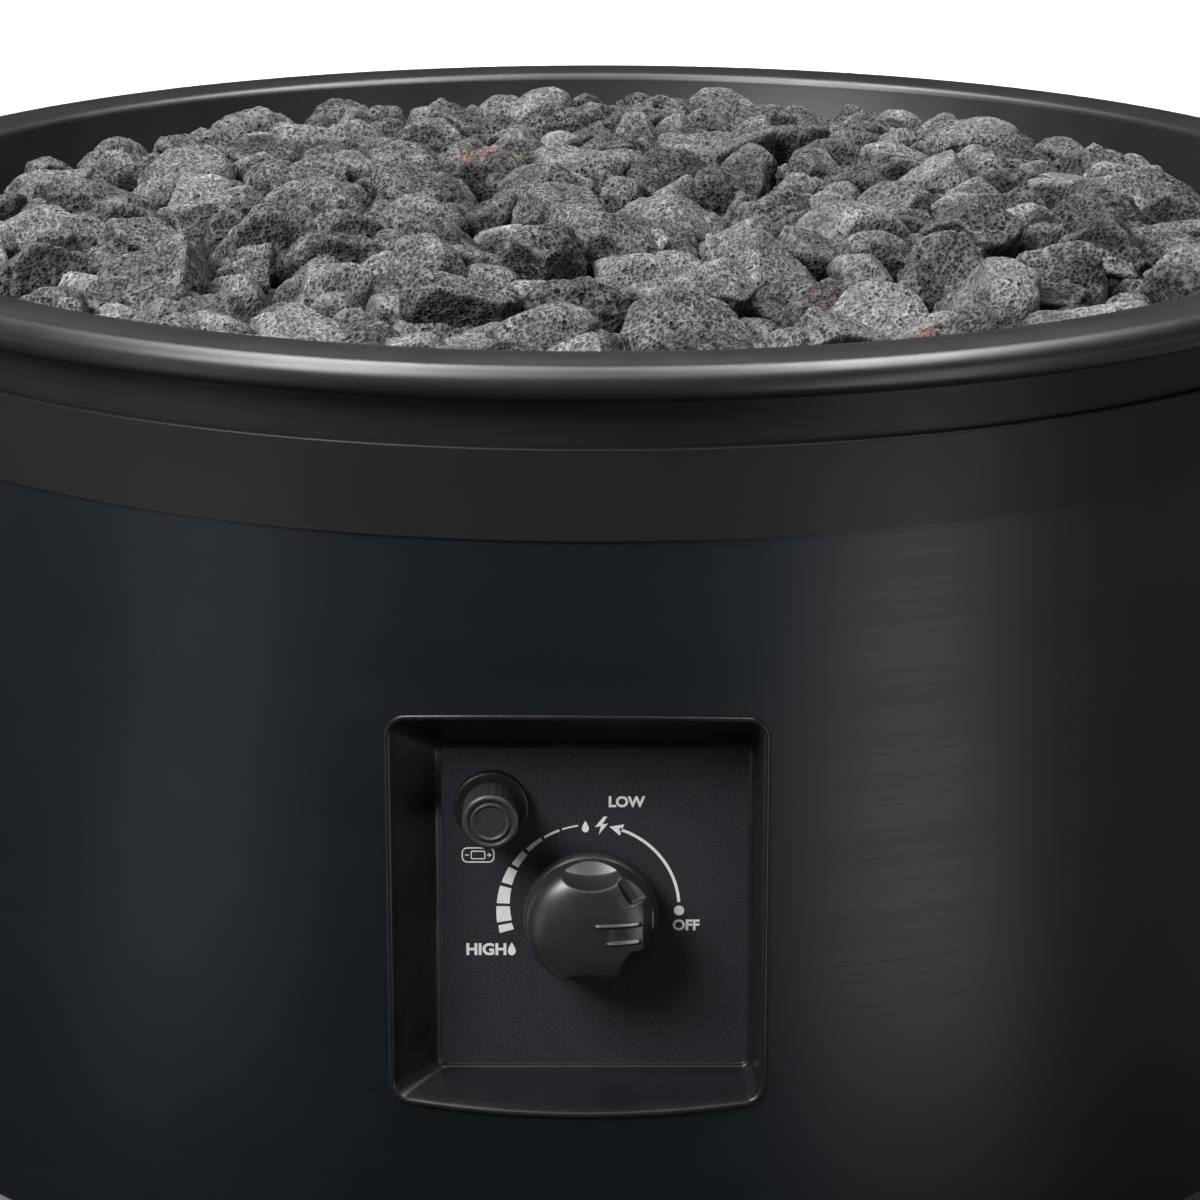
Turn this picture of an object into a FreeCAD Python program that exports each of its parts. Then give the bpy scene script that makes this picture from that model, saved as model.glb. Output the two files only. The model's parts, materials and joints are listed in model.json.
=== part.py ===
import FreeCAD, Part
import math
import os
import re

import Sketcher
from FreeCAD import Placement, Rotation, Vector

# Gas fire pit: a low steel drum with a bowl of lava rock, a ring burner and a control recess.
# +Z is up, the front faces -Y, and the origin is the centre of the floor circle under the feet.

DOC = FreeCAD.newDocument("gas_fire_pit")
SHEET = DOC.addObject("Spreadsheet::Sheet", "Sizes")

# Driving dimensions, in millimetres, degrees and counts.
SIZES = {
    # drum and collar
    "total_height": 400, "foot_height": 20, "wall_radius": 345.5, "wall_sheet": 1.2,
    "hem_width": 15, "neck_step": 3.3, "collar_sheet": 1.0,
    "neck_drop": 33.3, "band_drop": 68.4, "collar_flange": 14, "collar_nose": 0.9,
    # bowl
    "rim_overhang": 10.1, "roll_radius": 5.5, "land_width": 27.5, "crown_height": 1.0,
    "mouth_edge": 5, "bowl_sheet": 1.5, "bowl_depth": 88, "bowl_taper": 22.6,
    "bowl_corner": 20, "drain_radius": 4, "drain_circle": 90, "drain_count": 6,
    # base and feet
    "base_sheet": 1.5, "base_gap": 0.5, "vent_radius": 15, "vent_circle": 225, "vent_count": 12,
    "inner_vent_circle": 110, "inner_vent_count": 6, "foot_inset": 45.5, "foot_radius": 22,
    "foot_taper": 3, "foot_pocket_radius": 8, "foot_pocket_depth": 9,
    # clearances and seats
    "seat_gap": 0.3, "screw_gap": 0.2, "running_gap": 0.05, "side_gap": 0.4,
    # bowl hold-down brackets
    "bracket_width": 30, "bracket_sheet": 2, "bracket_leg": 40, "bracket_inset": 28,
    "bracket_end": 8, "bracket_count": 4,
    # common screws: shank radii, heads and nuts
    "small_shank": 2.0, "small_head": 3.6, "small_head_height": 2.4, "small_nut": 7,
    "small_nut_height": 3.2, "large_shank": 3.0, "large_head": 5.2, "large_head_height": 3.6,
    "large_nut": 10, "large_nut_height": 5, "tiny_shank": 1.1, "tiny_head": 2.0,
    "tiny_head_height": 1.4,
    # burner
    "ring_radius": 140, "ring_tube": 9, "tube_wall": 1.5, "ring_lift": 12, "spoke_tube": 7,
    "hub_radius": 15, "nipple_radius": 10, "nipple_length": 22, "gas_bore": 6.5,
    "port_radius": 1.3, "port_count": 36, "standoff_radius": 8, "standoff_count": 3,
    "locknut_flats": 27, "locknut_height": 7,
    # air mixer and jet
    "mixer_wall": 3, "mixer_length": 68, "window_height": 18, "window_width": 10,
    "mixer_floor": 4, "jet_flats": 16, "jet_hex_height": 11, "jet_nozzle": 5,
    "jet_nozzle_length": 14, "jet_tail": 6, "jet_tail_length": 9, "jet_orifice": 0.8,
    # heat shield
    "shield_radius": 240, "shield_sheet": 1.0, "shield_drop": 25, "spacer_circle": 200,
    "spacer_radius": 5.5, "spacer_count": 4,
    # lava rock
    "bed_lift": 4.5, "bed_drop": 40, "rock_rings": 7, "rock_height": 30, "rock_spread": 6,
    "channel_gap": 0.5,
    # control recess
    "recess_depth": 25.5, "frame_x": -7.6, "frame_z": 182, "frame_width": 146,
    "frame_height": 157.4, "frame_bow": 3, "frame_corner": 8, "lip_lap": 1.4, "lip_sheet": 1.2,
    "hole_gap": 0.3, "bezel_wall": 1.4, "floor_x": -0.8, "floor_z": 177.2, "floor_width": 121,
    "floor_height": 132.7, "floor_corner": 3.5, "plate_sheet": 2, "plate_gap": 0.4,
    "ledge_width": 4.5, "ledge_sheet": 2, "stud_inset": 9, "stud_length": 12,
    "clamp_width": 12, "clamp_sheet": 2, "clamp_reach": 9,
    # knob and stem
    "knob_x": -2.3, "knob_z": 176, "knob_gap": 4.5, "push_travel": 3.5, "knob_radius": 26,
    "skirt_height": 6.5, "dome_radius": 25, "knob_height": 23, "knob_shoulder": 5,
    "knob_crown": 1.0, "skirt_round": 1.5, "knob_hub": 8, "knob_cavity": 22,
    "cavity_depth": 3.5, "scoop_radius": 28, "grip_half": 16.5, "scoop_taper": 12,
    "pointer_length": 16, "pointer_start": 5.5, "pointer_width": 1.1, "pointer_half": 3.6,
    "stem_radius": 4, "stem_grip": 13.5, "stem_flat": 1.2, "tongue_width": 7,
    "tongue_thick": 2.4, "tongue_length": 12.5, "clip_radius": 7, "clip_sheet": 1.0,
    "clip_groove": 0.7,
    # valve
    "valve_skin": 3, "bonnet_depth": 18, "bonnet_radius": 15, "bonnet_bore": 11,
    "valve_radius": 14, "plug_length": 27, "plug_front": 9, "plug_rear": 7.5, "plug_bore": 4,
    "plug_port": 2.5, "passage_length": 4.5, "passage_radius": 5, "magnet_radius": 9,
    "magnet_depth": 16, "magnet_flats": 22, "magnet_hex": 6, "tail_radius": 4.5,
    "tail_length": 8, "port_boss": 8, "port_bore": 3.5, "inlet_drop": 32, "outlet_reach": 26,
    "lug_reach": 24, "lug_half": 7, "lug_sheet": 4, "lug_screw": 18, "collar_thick": 3,
    "collar_radius": 10.6, "ear_half": 1.8, "ear_reach": 22, "spring_radius": 7.5,
    "spring_wire": 1.0, "spring_turns": 5,
    # microswitch
    "switch_half": 10, "switch_base": 16, "switch_height": 10, "switch_depth": 10,
    "plunger_radius": 1.3, "plunger_lift": 19.5, "plunger_length": 9.4,
    # igniter and battery
    "cap_x": -40.5, "cap_z": 219, "flange_radius": 14.4, "flange_sheet": 4, "thread_radius": 9,
    "thread_length": 10, "barrel_radius": 10.5, "battery_radius": 7.25, "battery_length": 50.5,
    "battery_gap": 0.3, "nub_radius": 2.75, "nub_height": 1.2, "cap_radius": 10.85,
    "cap_length": 16, "cap_front": 2.3, "cap_grooves": 24, "groove_depth": 0.5,
    "igniter_nut_flats": 26, "igniter_nut_height": 6, "module_half": 12, "module_length": 26,
    "contact_sheet": 0.8, "contact_sleeve": 1.2,
    # pilot group on the bowl floor, outside the burner ring
    "pilot_x": 27, "pilot_y": -170, "probe_spread": 12, "electrode_radius": 3,
    "electrode_rise": 26, "pin_radius": 0.9, "pin_rise": 36, "probe_radius": 2.4,
    "probe_rise": 34, "pilot_plate_half": 20, "pilot_plate_depth": 30, "pilot_sheet": 1.5,
    "pilot_shelf": 18, "hood_sheet": 1.0, "hood_height": 42, "lead_hole": 6, "pin_drop": 18,
    # gas inlet and pipes
    "inlet_z": 48, "inlet_hole": 24, "flare_radius": 7.94, "flare_length": 14,
    "fitting_flats": 22, "fitting_hex": 8, "fitting_bore": 4.2, "fitting_tail": 10,
    "inlet_sheet": 2.5, "inlet_half": 20, "inlet_leg": 34, "inlet_nut": 7,
    "pipe_radius": 4.75, "pipe_wall": 0.9, "pipe_bend": 45, "clip_half": 8,
    "hose_radius": 5.5, "hose_bore": 3, "hose_nut_length": 14, "hose_nut_flats": 17,
    "lead_radius": 1.5, "thin_lead_radius": 1.2,
}

# Sizes that follow from the driving ones. Front distances are measured from the axis towards -Y.
DERIVED = {
    "rim_radius": "wall_radius + rim_overhang",
    "band_radius": "wall_radius + seat_gap + collar_sheet",
    "neck_radius": "band_radius - neck_step",
    "foot_circle": "wall_radius - foot_inset",
    "land_z": "total_height - crown_height",
    "roll_centre": "rim_radius - roll_radius",
    "mouth_radius": "roll_centre - land_width",
    "bowl_base_radius": "mouth_radius - bowl_taper",
    "bracket_screw_circle": "bowl_base_radius - bracket_inset",
    "crown_chord": "(land_width - mouth_edge) / 2",
    "crown_radius": "(crown_chord^2 + crown_height^2) / (2 * crown_height)",
    "floor_top": "total_height - bowl_depth",
    "floor_under": "floor_top - bowl_sheet",
    "collar_top": "land_z - bowl_sheet - seat_gap",
    "step_z": "total_height - neck_drop",
    "wall_top": "step_z - collar_sheet",
    "wall_inner": "wall_radius - wall_sheet",
    "band_bottom": "total_height - band_drop",
    "base_top": "foot_height + base_sheet",
    "base_radius": "wall_inner - base_gap",
    "ring_z": "floor_top + ring_lift + ring_tube",
    "hub_top": "ring_z + ring_tube",
    "nipple_end": "floor_top - nipple_length",
    "mixer_top": "floor_under - locknut_height - 1",
    "mixer_bottom": "mixer_top - mixer_length",
    "mixer_radius": "nipple_radius + mixer_wall",
    "jet_end": "mixer_bottom - jet_hex_height - jet_tail_length",
    "shield_top": "floor_under - shield_drop",
    "bed_bottom": "floor_top + bed_lift",
    "bed_top": "total_height - bed_drop",
    "wall_slope": "(mouth_radius - bowl_base_radius) / (land_z - mouth_edge - floor_top - bowl_corner)",
    "bed_radius": "bowl_base_radius + wall_slope * (bed_top - floor_top - bowl_corner) - side_gap",
    "rock_pitch": "bed_radius / (rock_rings + 0.5)",
    "plate_front": "wall_radius - recess_depth",
    "plate_back": "plate_front - plate_sheet",
    "ledge_back": "plate_back - ledge_sheet",
    "knob_base": "plate_front + knob_gap",
    "knob_face": "knob_base + knob_height",
    "bonnet_front": "plate_back - valve_skin",
    "bonnet_back": "bonnet_front - bonnet_depth",
    "chamber_front": "bonnet_back - valve_skin",
    "chamber_back": "chamber_front - plug_length - 2 * battery_gap",
    "magnet_front": "chamber_back - passage_length",
    "valve_back": "magnet_front - magnet_depth",
    "inlet_front": "valve_back + port_boss + 1.2",
    "clip_front": "bonnet_front - seat_gap",
    "collar_front": "clip_front - clip_sheet - seat_gap",
    "collar_back": "collar_front - collar_thick",
    "stem_hole": "stem_radius + running_gap",
    "stem_end": "chamber_front + push_travel + 0.5",
    "tongue_end": "chamber_front - tongue_length",
    "plug_face": "chamber_front - battery_gap",
    "switch_front": "chamber_front + switch_depth",
    "battery_tube": "battery_radius + 0.35",
    "barrel_front": "plate_front + flange_sheet",
    "thread_front": "barrel_front + thread_length",
    "battery_front": "thread_front - 2.8",
    "battery_back": "battery_front - battery_length",
    "barrel_well": "battery_back - battery_gap",
    "barrel_back": "barrel_well - valve_skin",
    "cap_back": "barrel_front + seat_gap",
    "cap_face": "cap_back + cap_length",
    "cap_inner": "cap_face - cap_front",
    "contact_front": "cap_inner - battery_gap",
    "electrode_x": "pilot_x - probe_spread",
    "probe_x": "pilot_x + probe_spread",
    "flare_end": "sqrt(wall_inner^2 - inlet_hole^2)",
    "fitting_front": "flare_end - flare_length",
    "fitting_back": "fitting_front - fitting_hex",
    "bracket_back": "fitting_back - inlet_sheet",
    "fitting_end": "bracket_back - inlet_nut - fitting_tail",
}


def fill_sheet():
    for row, (name, amount) in enumerate(SIZES.items(), start=1):
        SHEET.set(f"A{row}", name)
        SHEET.set(f"B{row}", str(amount))
        SHEET.setAlias(f"B{row}", name)
    DOC.recompute()


def bound(text):
    """An expression on the sheet's cells, with derived names written out."""
    def swap(match):
        word = match.group()
        if word in DERIVED:
            return "(" + bound(DERIVED[word]) + ")"
        return "Sizes." + word if word in SIZES else word
    return re.sub(r"[A-Za-z_][A-Za-z_0-9]*", swap, str(text))


def value(text):
    return float(SHEET.evalExpression(bound(text)))


# Sketches

def new_body(label):
    body = DOC.addObject("PartDesign::Body", label)
    body.Label = label
    return body


def origin_part(body, role):
    return next(item for item in body.Origin.OriginFeatures if item.Role == role)


def sketch_on(body, name, plane, x="0", y="0", lift="0"):
    sketch = body.newObject("Sketcher::SketchObject", name)
    sketch.AttachmentSupport = [(origin_part(body, plane), "")]
    sketch.MapMode = "FlatFace"
    for axis, amount in zip("xyz", (x, y, lift)):
        sketch.setExpression("AttachmentOffset.Base." + axis, bound(amount))
    return sketch


def pin_point(sketch, item, end, point):
    for kind, amount in zip(("DistanceX", "DistanceY"), point):
        index = sketch.addConstraint(Sketcher.Constraint(kind, -1, 1, item, end, value(amount)))
        sketch.setExpression(f"Constraints[{index}]", bound(amount))


def arc_between(start, end, radius, side):
    """The shorter arc from start to end, with its centre to the left or right of the way."""
    middle = (start + end) * 0.5
    half = (end - start).Length / 2
    rise = math.sqrt(max(radius * radius - half * half, 0))
    way = (end - start).normalize()
    left = Vector(-way.y, way.x, 0)
    centre = middle + left * (rise if side == "left" else -rise)
    first, last = (start, end) if side == "left" else (end, start)
    angles = [math.atan2(point.y - centre.y, point.x - centre.x) for point in (first, last)]
    if angles[1] <= angles[0]:
        angles[1] += 2 * math.pi
    circle = Part.Circle(centre, Vector(0, 0, 1), radius)
    return Part.ArcOfCircle(circle, angles[0], angles[1])


def draw_outline(sketch, outline):
    """A closed outline. A step is (x, y), or (x, y, radius, side) for an arc that ends there."""
    places = [Vector(value(step[0]), value(step[1]), 0) for step in outline]
    ends = []
    for number, start in enumerate(places):
        step = outline[(number + 1) % len(outline)]
        end = places[(number + 1) % len(outline)]
        if len(step) == 2:
            item = sketch.addGeometry(Part.LineSegment(start, end), False)
            ends.append((item, 1, 2))
            continue
        arc = arc_between(start, end, value(step[2]), step[3])
        item = sketch.addGeometry(arc, False)
        ends.append((item, 1, 2) if step[3] == "left" else (item, 2, 1))
        index = sketch.addConstraint(Sketcher.Constraint("Radius", item, value(step[2])))
        sketch.setExpression(f"Constraints[{index}]", bound(step[2]))
    for number, (item, first, last) in enumerate(ends):
        following = ends[(number + 1) % len(ends)]
        sketch.addConstraint(Sketcher.Constraint("Coincident", item, last, following[0], following[1]))
        pin_point(sketch, item, first, outline[number][:2])


def draw_circles(sketch, circles):
    for x, y, radius in circles:
        centre = Vector(value(x), value(y), 0)
        item = sketch.addGeometry(Part.Circle(centre, Vector(0, 0, 1), value(radius)), False)
        pin_point(sketch, item, 3, (x, y))
        index = sketch.addConstraint(Sketcher.Constraint("Radius", item, value(radius)))
        sketch.setExpression(f"Constraints[{index}]", bound(radius))


# Features

def turned(body, name, outline, plane="XZ_Plane", x="0", y="0", lift="0", cut=False):
    """An outline turned a full circle about its own sketch's vertical axis."""
    sketch = sketch_on(body, name + "_outline", plane, x, y, lift)
    draw_outline(sketch, outline)
    feature = body.newObject("PartDesign::Groove" if cut else "PartDesign::Revolution", name)
    feature.Profile = sketch
    feature.ReferenceAxis = (sketch, ["V_Axis"])
    feature.Angle = 360
    body.Tip = feature
    return feature


def upright(body, name, outline, x="0", y="0", cut=False):
    """Turned about a vertical line at x, y. The outline is radius and height."""
    return turned(body, name, outline, "XZ_Plane", x, "0", f"-({y})", cut)


def along_y(body, name, outline, x, z, cut=False):
    """Turned about a line along Y at x, z. The outline is radius and y."""
    return turned(body, name, outline, "XY_Plane", x, "0", z, cut)


def from_front(outline):
    """An outline of radius and front distance, as radius and y."""
    other = {"left": "right", "right": "left"}
    steps = []
    for step in outline:
        arc = (step[2], other[step[3]]) if len(step) == 4 else ()
        steps.append((step[0], f"-({step[1]})") + arc)
    return steps


def facing(body, name, outline, x, z, cut=False):
    return along_y(body, name, from_front(outline), x, z, cut)


def extruded(body, name, plane, length, outline=None, circles=None, x="0", y="0", lift="0",
             back=False, middle=False, cut=False, taper="0"):
    """A pad along its plane's normal, or a pocket against it, each turned round by back."""
    sketch = sketch_on(body, name + "_outline", plane, x, y, lift)
    if outline:
        draw_outline(sketch, outline)
    if circles:
        draw_circles(sketch, circles)
    feature = body.newObject("PartDesign::Pocket" if cut else "PartDesign::Pad", name)
    feature.Profile = sketch
    feature.setExpression("Length", bound(length))
    feature.Reversed = back
    feature.Midplane = middle
    if taper != "0":
        feature.setExpression("TaperAngle", bound(taper))
    body.Tip = feature
    return feature


def copies(body, features, count, axis="Z_Axis", sketch=None):
    """Equal copies of features round an axis of the body, or round a sketch's centre."""
    pattern = body.newObject("PartDesign::PolarPattern", features[0].Name + "_copies")
    pattern.Originals = features
    pattern.Axis = (sketch, ["N_Axis"]) if sketch else (origin_part(body, axis), [""])
    pattern.Angle = 360
    pattern.setExpression("Occurrences", bound(count))
    body.Tip = pattern
    return pattern


def box_outline(x0, y0, x1, y1):
    return [(x0, y0), (x1, y0), (x1, y1), (x0, y1)]


def hexagon(flats):
    corner = f"({flats}) / sqrt(3)"
    return [(f"{corner} * cos({60 * side})", f"{corner} * sin({60 * side})") for side in range(6)]


def rounded_box(width, height, corner, bow="0"):
    """A rounded rectangle about the origin, whose top and bottom bow outwards where bow is given."""
    w, h, c = f"({width}) / 2", f"({height}) / 2", f"({corner})"
    inner_w, inner_h = f"({w} - {c})", f"({h} - {c})"
    bowed = () if bow == "0" else (f"({inner_w}^2 + ({bow})^2) / (2 * ({bow}))", "left")
    return [
        (f"-{inner_w}", f"-({h})", c, "left"),
        (inner_w, f"-({h})") + bowed,
        (w, f"-{inner_h}", c, "left"),
        (w, inner_h),
        (inner_w, h, c, "left"),
        (f"-{inner_w}", h) + bowed,
        (f"-({w})", inner_h, c, "left"),
        (f"-({w})", f"-{inner_h}"),
    ]


# Fasteners

def screw_outline(seat, length, shank, head, head_height, up=True):
    """Half a screw on its axis: a shank that hangs from its seat, and a low domed head."""
    sign = "+" if up else "-"
    other = "-" if up else "+"
    tip = f"{seat} {other} ({length})"
    return [
        ("0", tip),
        (shank, tip),
        (shank, seat),
        (head, seat),
        (head, f"{seat} {sign} {head_height} * 0.5"),
        (f"{head} * 0.7", f"{seat} {sign} {head_height}"),
        ("0", f"{seat} {sign} {head_height}"),
    ]


def upright_screw(body, name, seat, length, kind, x, y, up=True):
    outline = screw_outline(seat, length, kind + "_shank", kind + "_head", kind + "_head_height", up)
    return upright(body, name, outline, x, y)


def nut_ring(label, kind, bottom, circle, count, start="0"):
    """Hexagon nuts on a circle, each one's bottom at the given height."""
    body = new_body(label)
    x, y = f"{circle} * cos({start})", f"{circle} * sin({start})"
    nut = extruded(body, label + "_hex", "XY_Plane", kind + "_nut_height",
                   outline=hexagon(kind + "_nut"),
                   circles=[("0", "0", f"{kind}_shank + running_gap")], x=x, y=y, lift=bottom)
    return copies(body, [nut], count)


def ring_points(circle, count, start=0):
    return [(f"{circle} * cos({start} + {k} * 360 / ({count}))",
             f"{circle} * sin({start} + {k} * 360 / ({count}))") for k in range(round(value(count)))]


# Routed pipes, hoses and leads

def routed_wire(points, share=0.45, largest=None):
    """Straight runs joined by tangent arcs, each as large as its two runs allow."""
    edges = []
    start = points[0]
    radii = []
    for before, corner, after in zip(points, points[1:], points[2:]):
        way_in = (corner - before).normalize()
        way_out = (after - corner).normalize()
        half_turn = way_in.getAngle(way_out) / 2
        trim = share * min((corner - before).Length, (after - corner).Length)
        if largest:
            trim = min(trim, largest * math.tan(half_turn))
        radius = trim / math.tan(half_turn)
        radii.append(radius)
        first = corner - way_in * trim
        last = corner + way_out * trim
        inward = (way_out - way_in).normalize()
        apex = corner + inward * (radius / math.cos(half_turn) - radius)
        edges.append(Part.LineSegment(start, first).toShape())
        edges.append(Part.Arc(first, apex, last).toShape())
        start = last
    edges.append(Part.LineSegment(start, points[-1]).toShape())
    return Part.Wire(edges), radii


def routed_tube(label, places, outer, inner=None, largest=None):
    points = [Vector(*(value(part) for part in place)) for place in places]
    wire, radii = routed_wire(points, largest=value(largest) if largest else None)

    def swept(radius):
        circle = Part.Wire(Part.Circle(points[0], points[1] - points[0], radius).toShape())
        return wire.makePipeShell([circle], True, False)

    solid = swept(value(outer))
    area = math.pi * value(outer) ** 2
    if inner:
        solid = solid.cut(swept(value(inner)))
        area -= math.pi * value(inner) ** 2
    if abs(solid.Volume / (area * wire.Length) - 1) > 0.01:
        raise ValueError(label + " doesn't fill its route")
    print(label, "length", round(wire.Length, 1), "radii", [round(radius, 1) for radius in radii])
    tube = DOC.addObject("Part::Feature", label)
    tube.Label = label
    tube.Shape = solid


# Drum

def drum_wall():
    body = new_body("drum_wall")
    bottom = "foot_height - wall_sheet"
    turned(body, "wall_sheet_roll", [
        ("wall_radius - hem_width", bottom),
        ("wall_radius", bottom),
        ("wall_radius", "wall_top"),
        ("wall_inner", "wall_top"),
        ("wall_inner", "foot_height"),
        ("wall_radius - hem_width", "foot_height"),
    ])
    outline = rounded_box("frame_width - 2 * lip_lap", "frame_height - 2 * lip_lap",
                          "frame_corner - lip_lap", "frame_bow")
    extruded(body, "recess_opening", "XZ_Plane", "wall_radius", outline=outline,
             x="frame_x", y="frame_z", lift="wall_radius + 1", cut=True)
    extruded(body, "inlet_opening", "XZ_Plane", "wall_radius + 1",
             circles=[("knob_x", "inlet_z", "inlet_hole")], cut=True)


def collar_ring():
    body = new_body("collar_ring")
    turned(body, "collar_roll", [
        ("neck_radius - collar_flange", "collar_top - collar_sheet"),
        ("neck_radius - collar_sheet", "collar_top - collar_sheet"),
        ("neck_radius - collar_sheet", "step_z - collar_sheet"),
        ("band_radius - collar_sheet", "step_z - collar_sheet"),
        ("band_radius - collar_sheet", "band_bottom"),
        ("band_radius", "band_bottom"),
        ("band_radius", "step_z - collar_nose"),
        ("band_radius - collar_nose", "step_z", "collar_nose", "left"),
        ("neck_radius", "step_z"),
        ("neck_radius", "collar_top"),
        ("neck_radius - collar_flange", "collar_top"),
    ])


def base_plate():
    body = new_body("base_plate")
    extruded(body, "base_disc", "XY_Plane", "base_sheet", circles=[("0", "0", "base_radius")],
             lift="foot_height")
    for name, circle, count in (("outer_vent", "vent_circle", "vent_count"),
                                ("inner_vent", "inner_vent_circle", "inner_vent_count")):
        half = f"180 / {count}"
        vent = extruded(body, name, "XY_Plane", "2 * base_sheet", cut=True, lift="base_top + 0.5",
                        circles=[(f"{circle} * cos({half})", f"{circle} * sin({half})", "vent_radius")])
        copies(body, [vent], count)
    hole = extruded(body, "foot_hole", "XY_Plane", "2 * base_sheet", cut=True, lift="base_top + 0.5",
                    circles=[("foot_circle * cos(45)", "foot_circle * sin(45)",
                              "large_shank + screw_gap")])
    copies(body, [hole], "4")


def feet():
    body = new_body("rubber_feet")
    x, y = "foot_circle * cos(45)", "foot_circle * sin(45)"
    foot = upright(body, "foot", [
        ("large_shank + screw_gap", "foot_pocket_depth"),
        ("foot_pocket_radius", "foot_pocket_depth"),
        ("foot_pocket_radius", "0"),
        ("foot_radius", "0"),
        ("foot_radius - foot_taper", "foot_height"),
        ("large_shank + screw_gap", "foot_height"),
    ], x, y)
    copies(body, [foot], "4")
    body = new_body("foot_screws")
    length = "foot_height + base_sheet + large_nut_height + 1 - foot_pocket_depth"
    screw = upright_screw(body, "foot_screw", "foot_pocket_depth", length, "large", x, y, up=False)
    copies(body, [screw], "4")
    nut_ring("foot_nuts", "large", "base_top", "foot_circle", "4", "45")


# Bowl

def bowl_top_holes():
    """Every hole in the bowl's floor, as x, y and radius."""
    holes = [("0", "0", "nipple_radius + 0.6")]
    holes += [(x, y, "drain_radius") for x, y in ring_points("drain_circle", "drain_count", 30)]
    holes += [(x, y, "small_shank + screw_gap")
              for x, y in ring_points("bracket_screw_circle", "bracket_count", 45)]
    holes += [(x, y, "small_shank + screw_gap")
              for x, y in ring_points("ring_radius", "standoff_count", 90)]
    holes += [(x, y, "small_shank + screw_gap")
              for x, y in ring_points("spacer_circle", "spacer_count", 45)]
    holes += [(x, "pilot_y", "lead_hole") for x in ("electrode_x", "probe_x")]
    holes += [("pilot_x", "pilot_y - pilot_plate_depth / 3", "tiny_shank + screw_gap")]
    return holes


def fire_bowl():
    body = new_body("fire_bowl")
    flat = "bowl_base_radius - bowl_corner"
    edge = "mouth_radius + mouth_edge"
    turned(body, "bowl_shell", [
        ("0", "floor_top"),
        (flat, "floor_top"),
        ("bowl_base_radius", "floor_top + bowl_corner", "bowl_corner", "left"),
        ("mouth_radius", "land_z - mouth_edge"),
        (edge, "land_z", "mouth_edge", "right"),
        ("roll_centre", "land_z", "crown_radius", "right"),
        ("rim_radius", "land_z - roll_radius", "roll_radius", "right"),
        ("roll_centre", "land_z - 2 * roll_radius", "roll_radius", "right"),
        ("roll_centre", "land_z - 2 * roll_radius + bowl_sheet"),
        ("rim_radius - bowl_sheet", "land_z - roll_radius", "roll_radius - bowl_sheet", "left"),
        ("roll_centre", "land_z - bowl_sheet", "roll_radius - bowl_sheet", "left"),
        (edge, "land_z - bowl_sheet", "crown_radius", "left"),
        ("mouth_radius + bowl_sheet", "land_z - mouth_edge", "mouth_edge - bowl_sheet", "left"),
        ("bowl_base_radius + bowl_sheet", "floor_top + bowl_corner"),
        (flat, "floor_under", "bowl_corner + bowl_sheet", "right"),
        ("0", "floor_under"),
    ])
    extruded(body, "floor_holes", "XY_Plane", "2 * bowl_sheet", cut=True, lift="floor_top + 0.5",
             circles=bowl_top_holes())


def bowl_brackets():
    body = new_body("bowl_brackets")
    foot_z = "floor_under - bracket_sheet"
    outer = "sqrt((wall_inner - seat_gap)^2 - (bracket_width / 2)^2)"
    inner = "bracket_screw_circle - bracket_end"
    bracket = extruded(body, "bracket", "XZ_Plane", "bracket_width", middle=True, outline=[
        (inner, foot_z),
        (f"{outer} - bracket_sheet", foot_z),
        (f"{outer} - bracket_sheet", "floor_under - bracket_leg"),
        (outer, "floor_under - bracket_leg"),
        (outer, "floor_under"),
        (inner, "floor_under"),
    ])
    hole = extruded(body, "bracket_hole", "XY_Plane", "2 * bracket_sheet", cut=True,
                    lift="floor_under + 1",
                    circles=[("bracket_screw_circle", "0", "small_shank + screw_gap")])
    copies(body, [bracket, hole], "bracket_count")
    body.Placement = Placement(Vector(0, 0, 0), Rotation(Vector(0, 0, 1), 45))
    body = new_body("bowl_screws")
    length = "bowl_sheet + bracket_sheet + small_nut_height + 1"
    x, y = "bracket_screw_circle * cos(45)", "bracket_screw_circle * sin(45)"
    screw = upright_screw(body, "bowl_screw", "floor_top", length, "small", x, y)
    copies(body, [screw], "bracket_count")
    nut_ring("bowl_nuts", "small", f"{foot_z} - small_nut_height", "bracket_screw_circle",
             "bracket_count", "45")


# Burner

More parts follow.
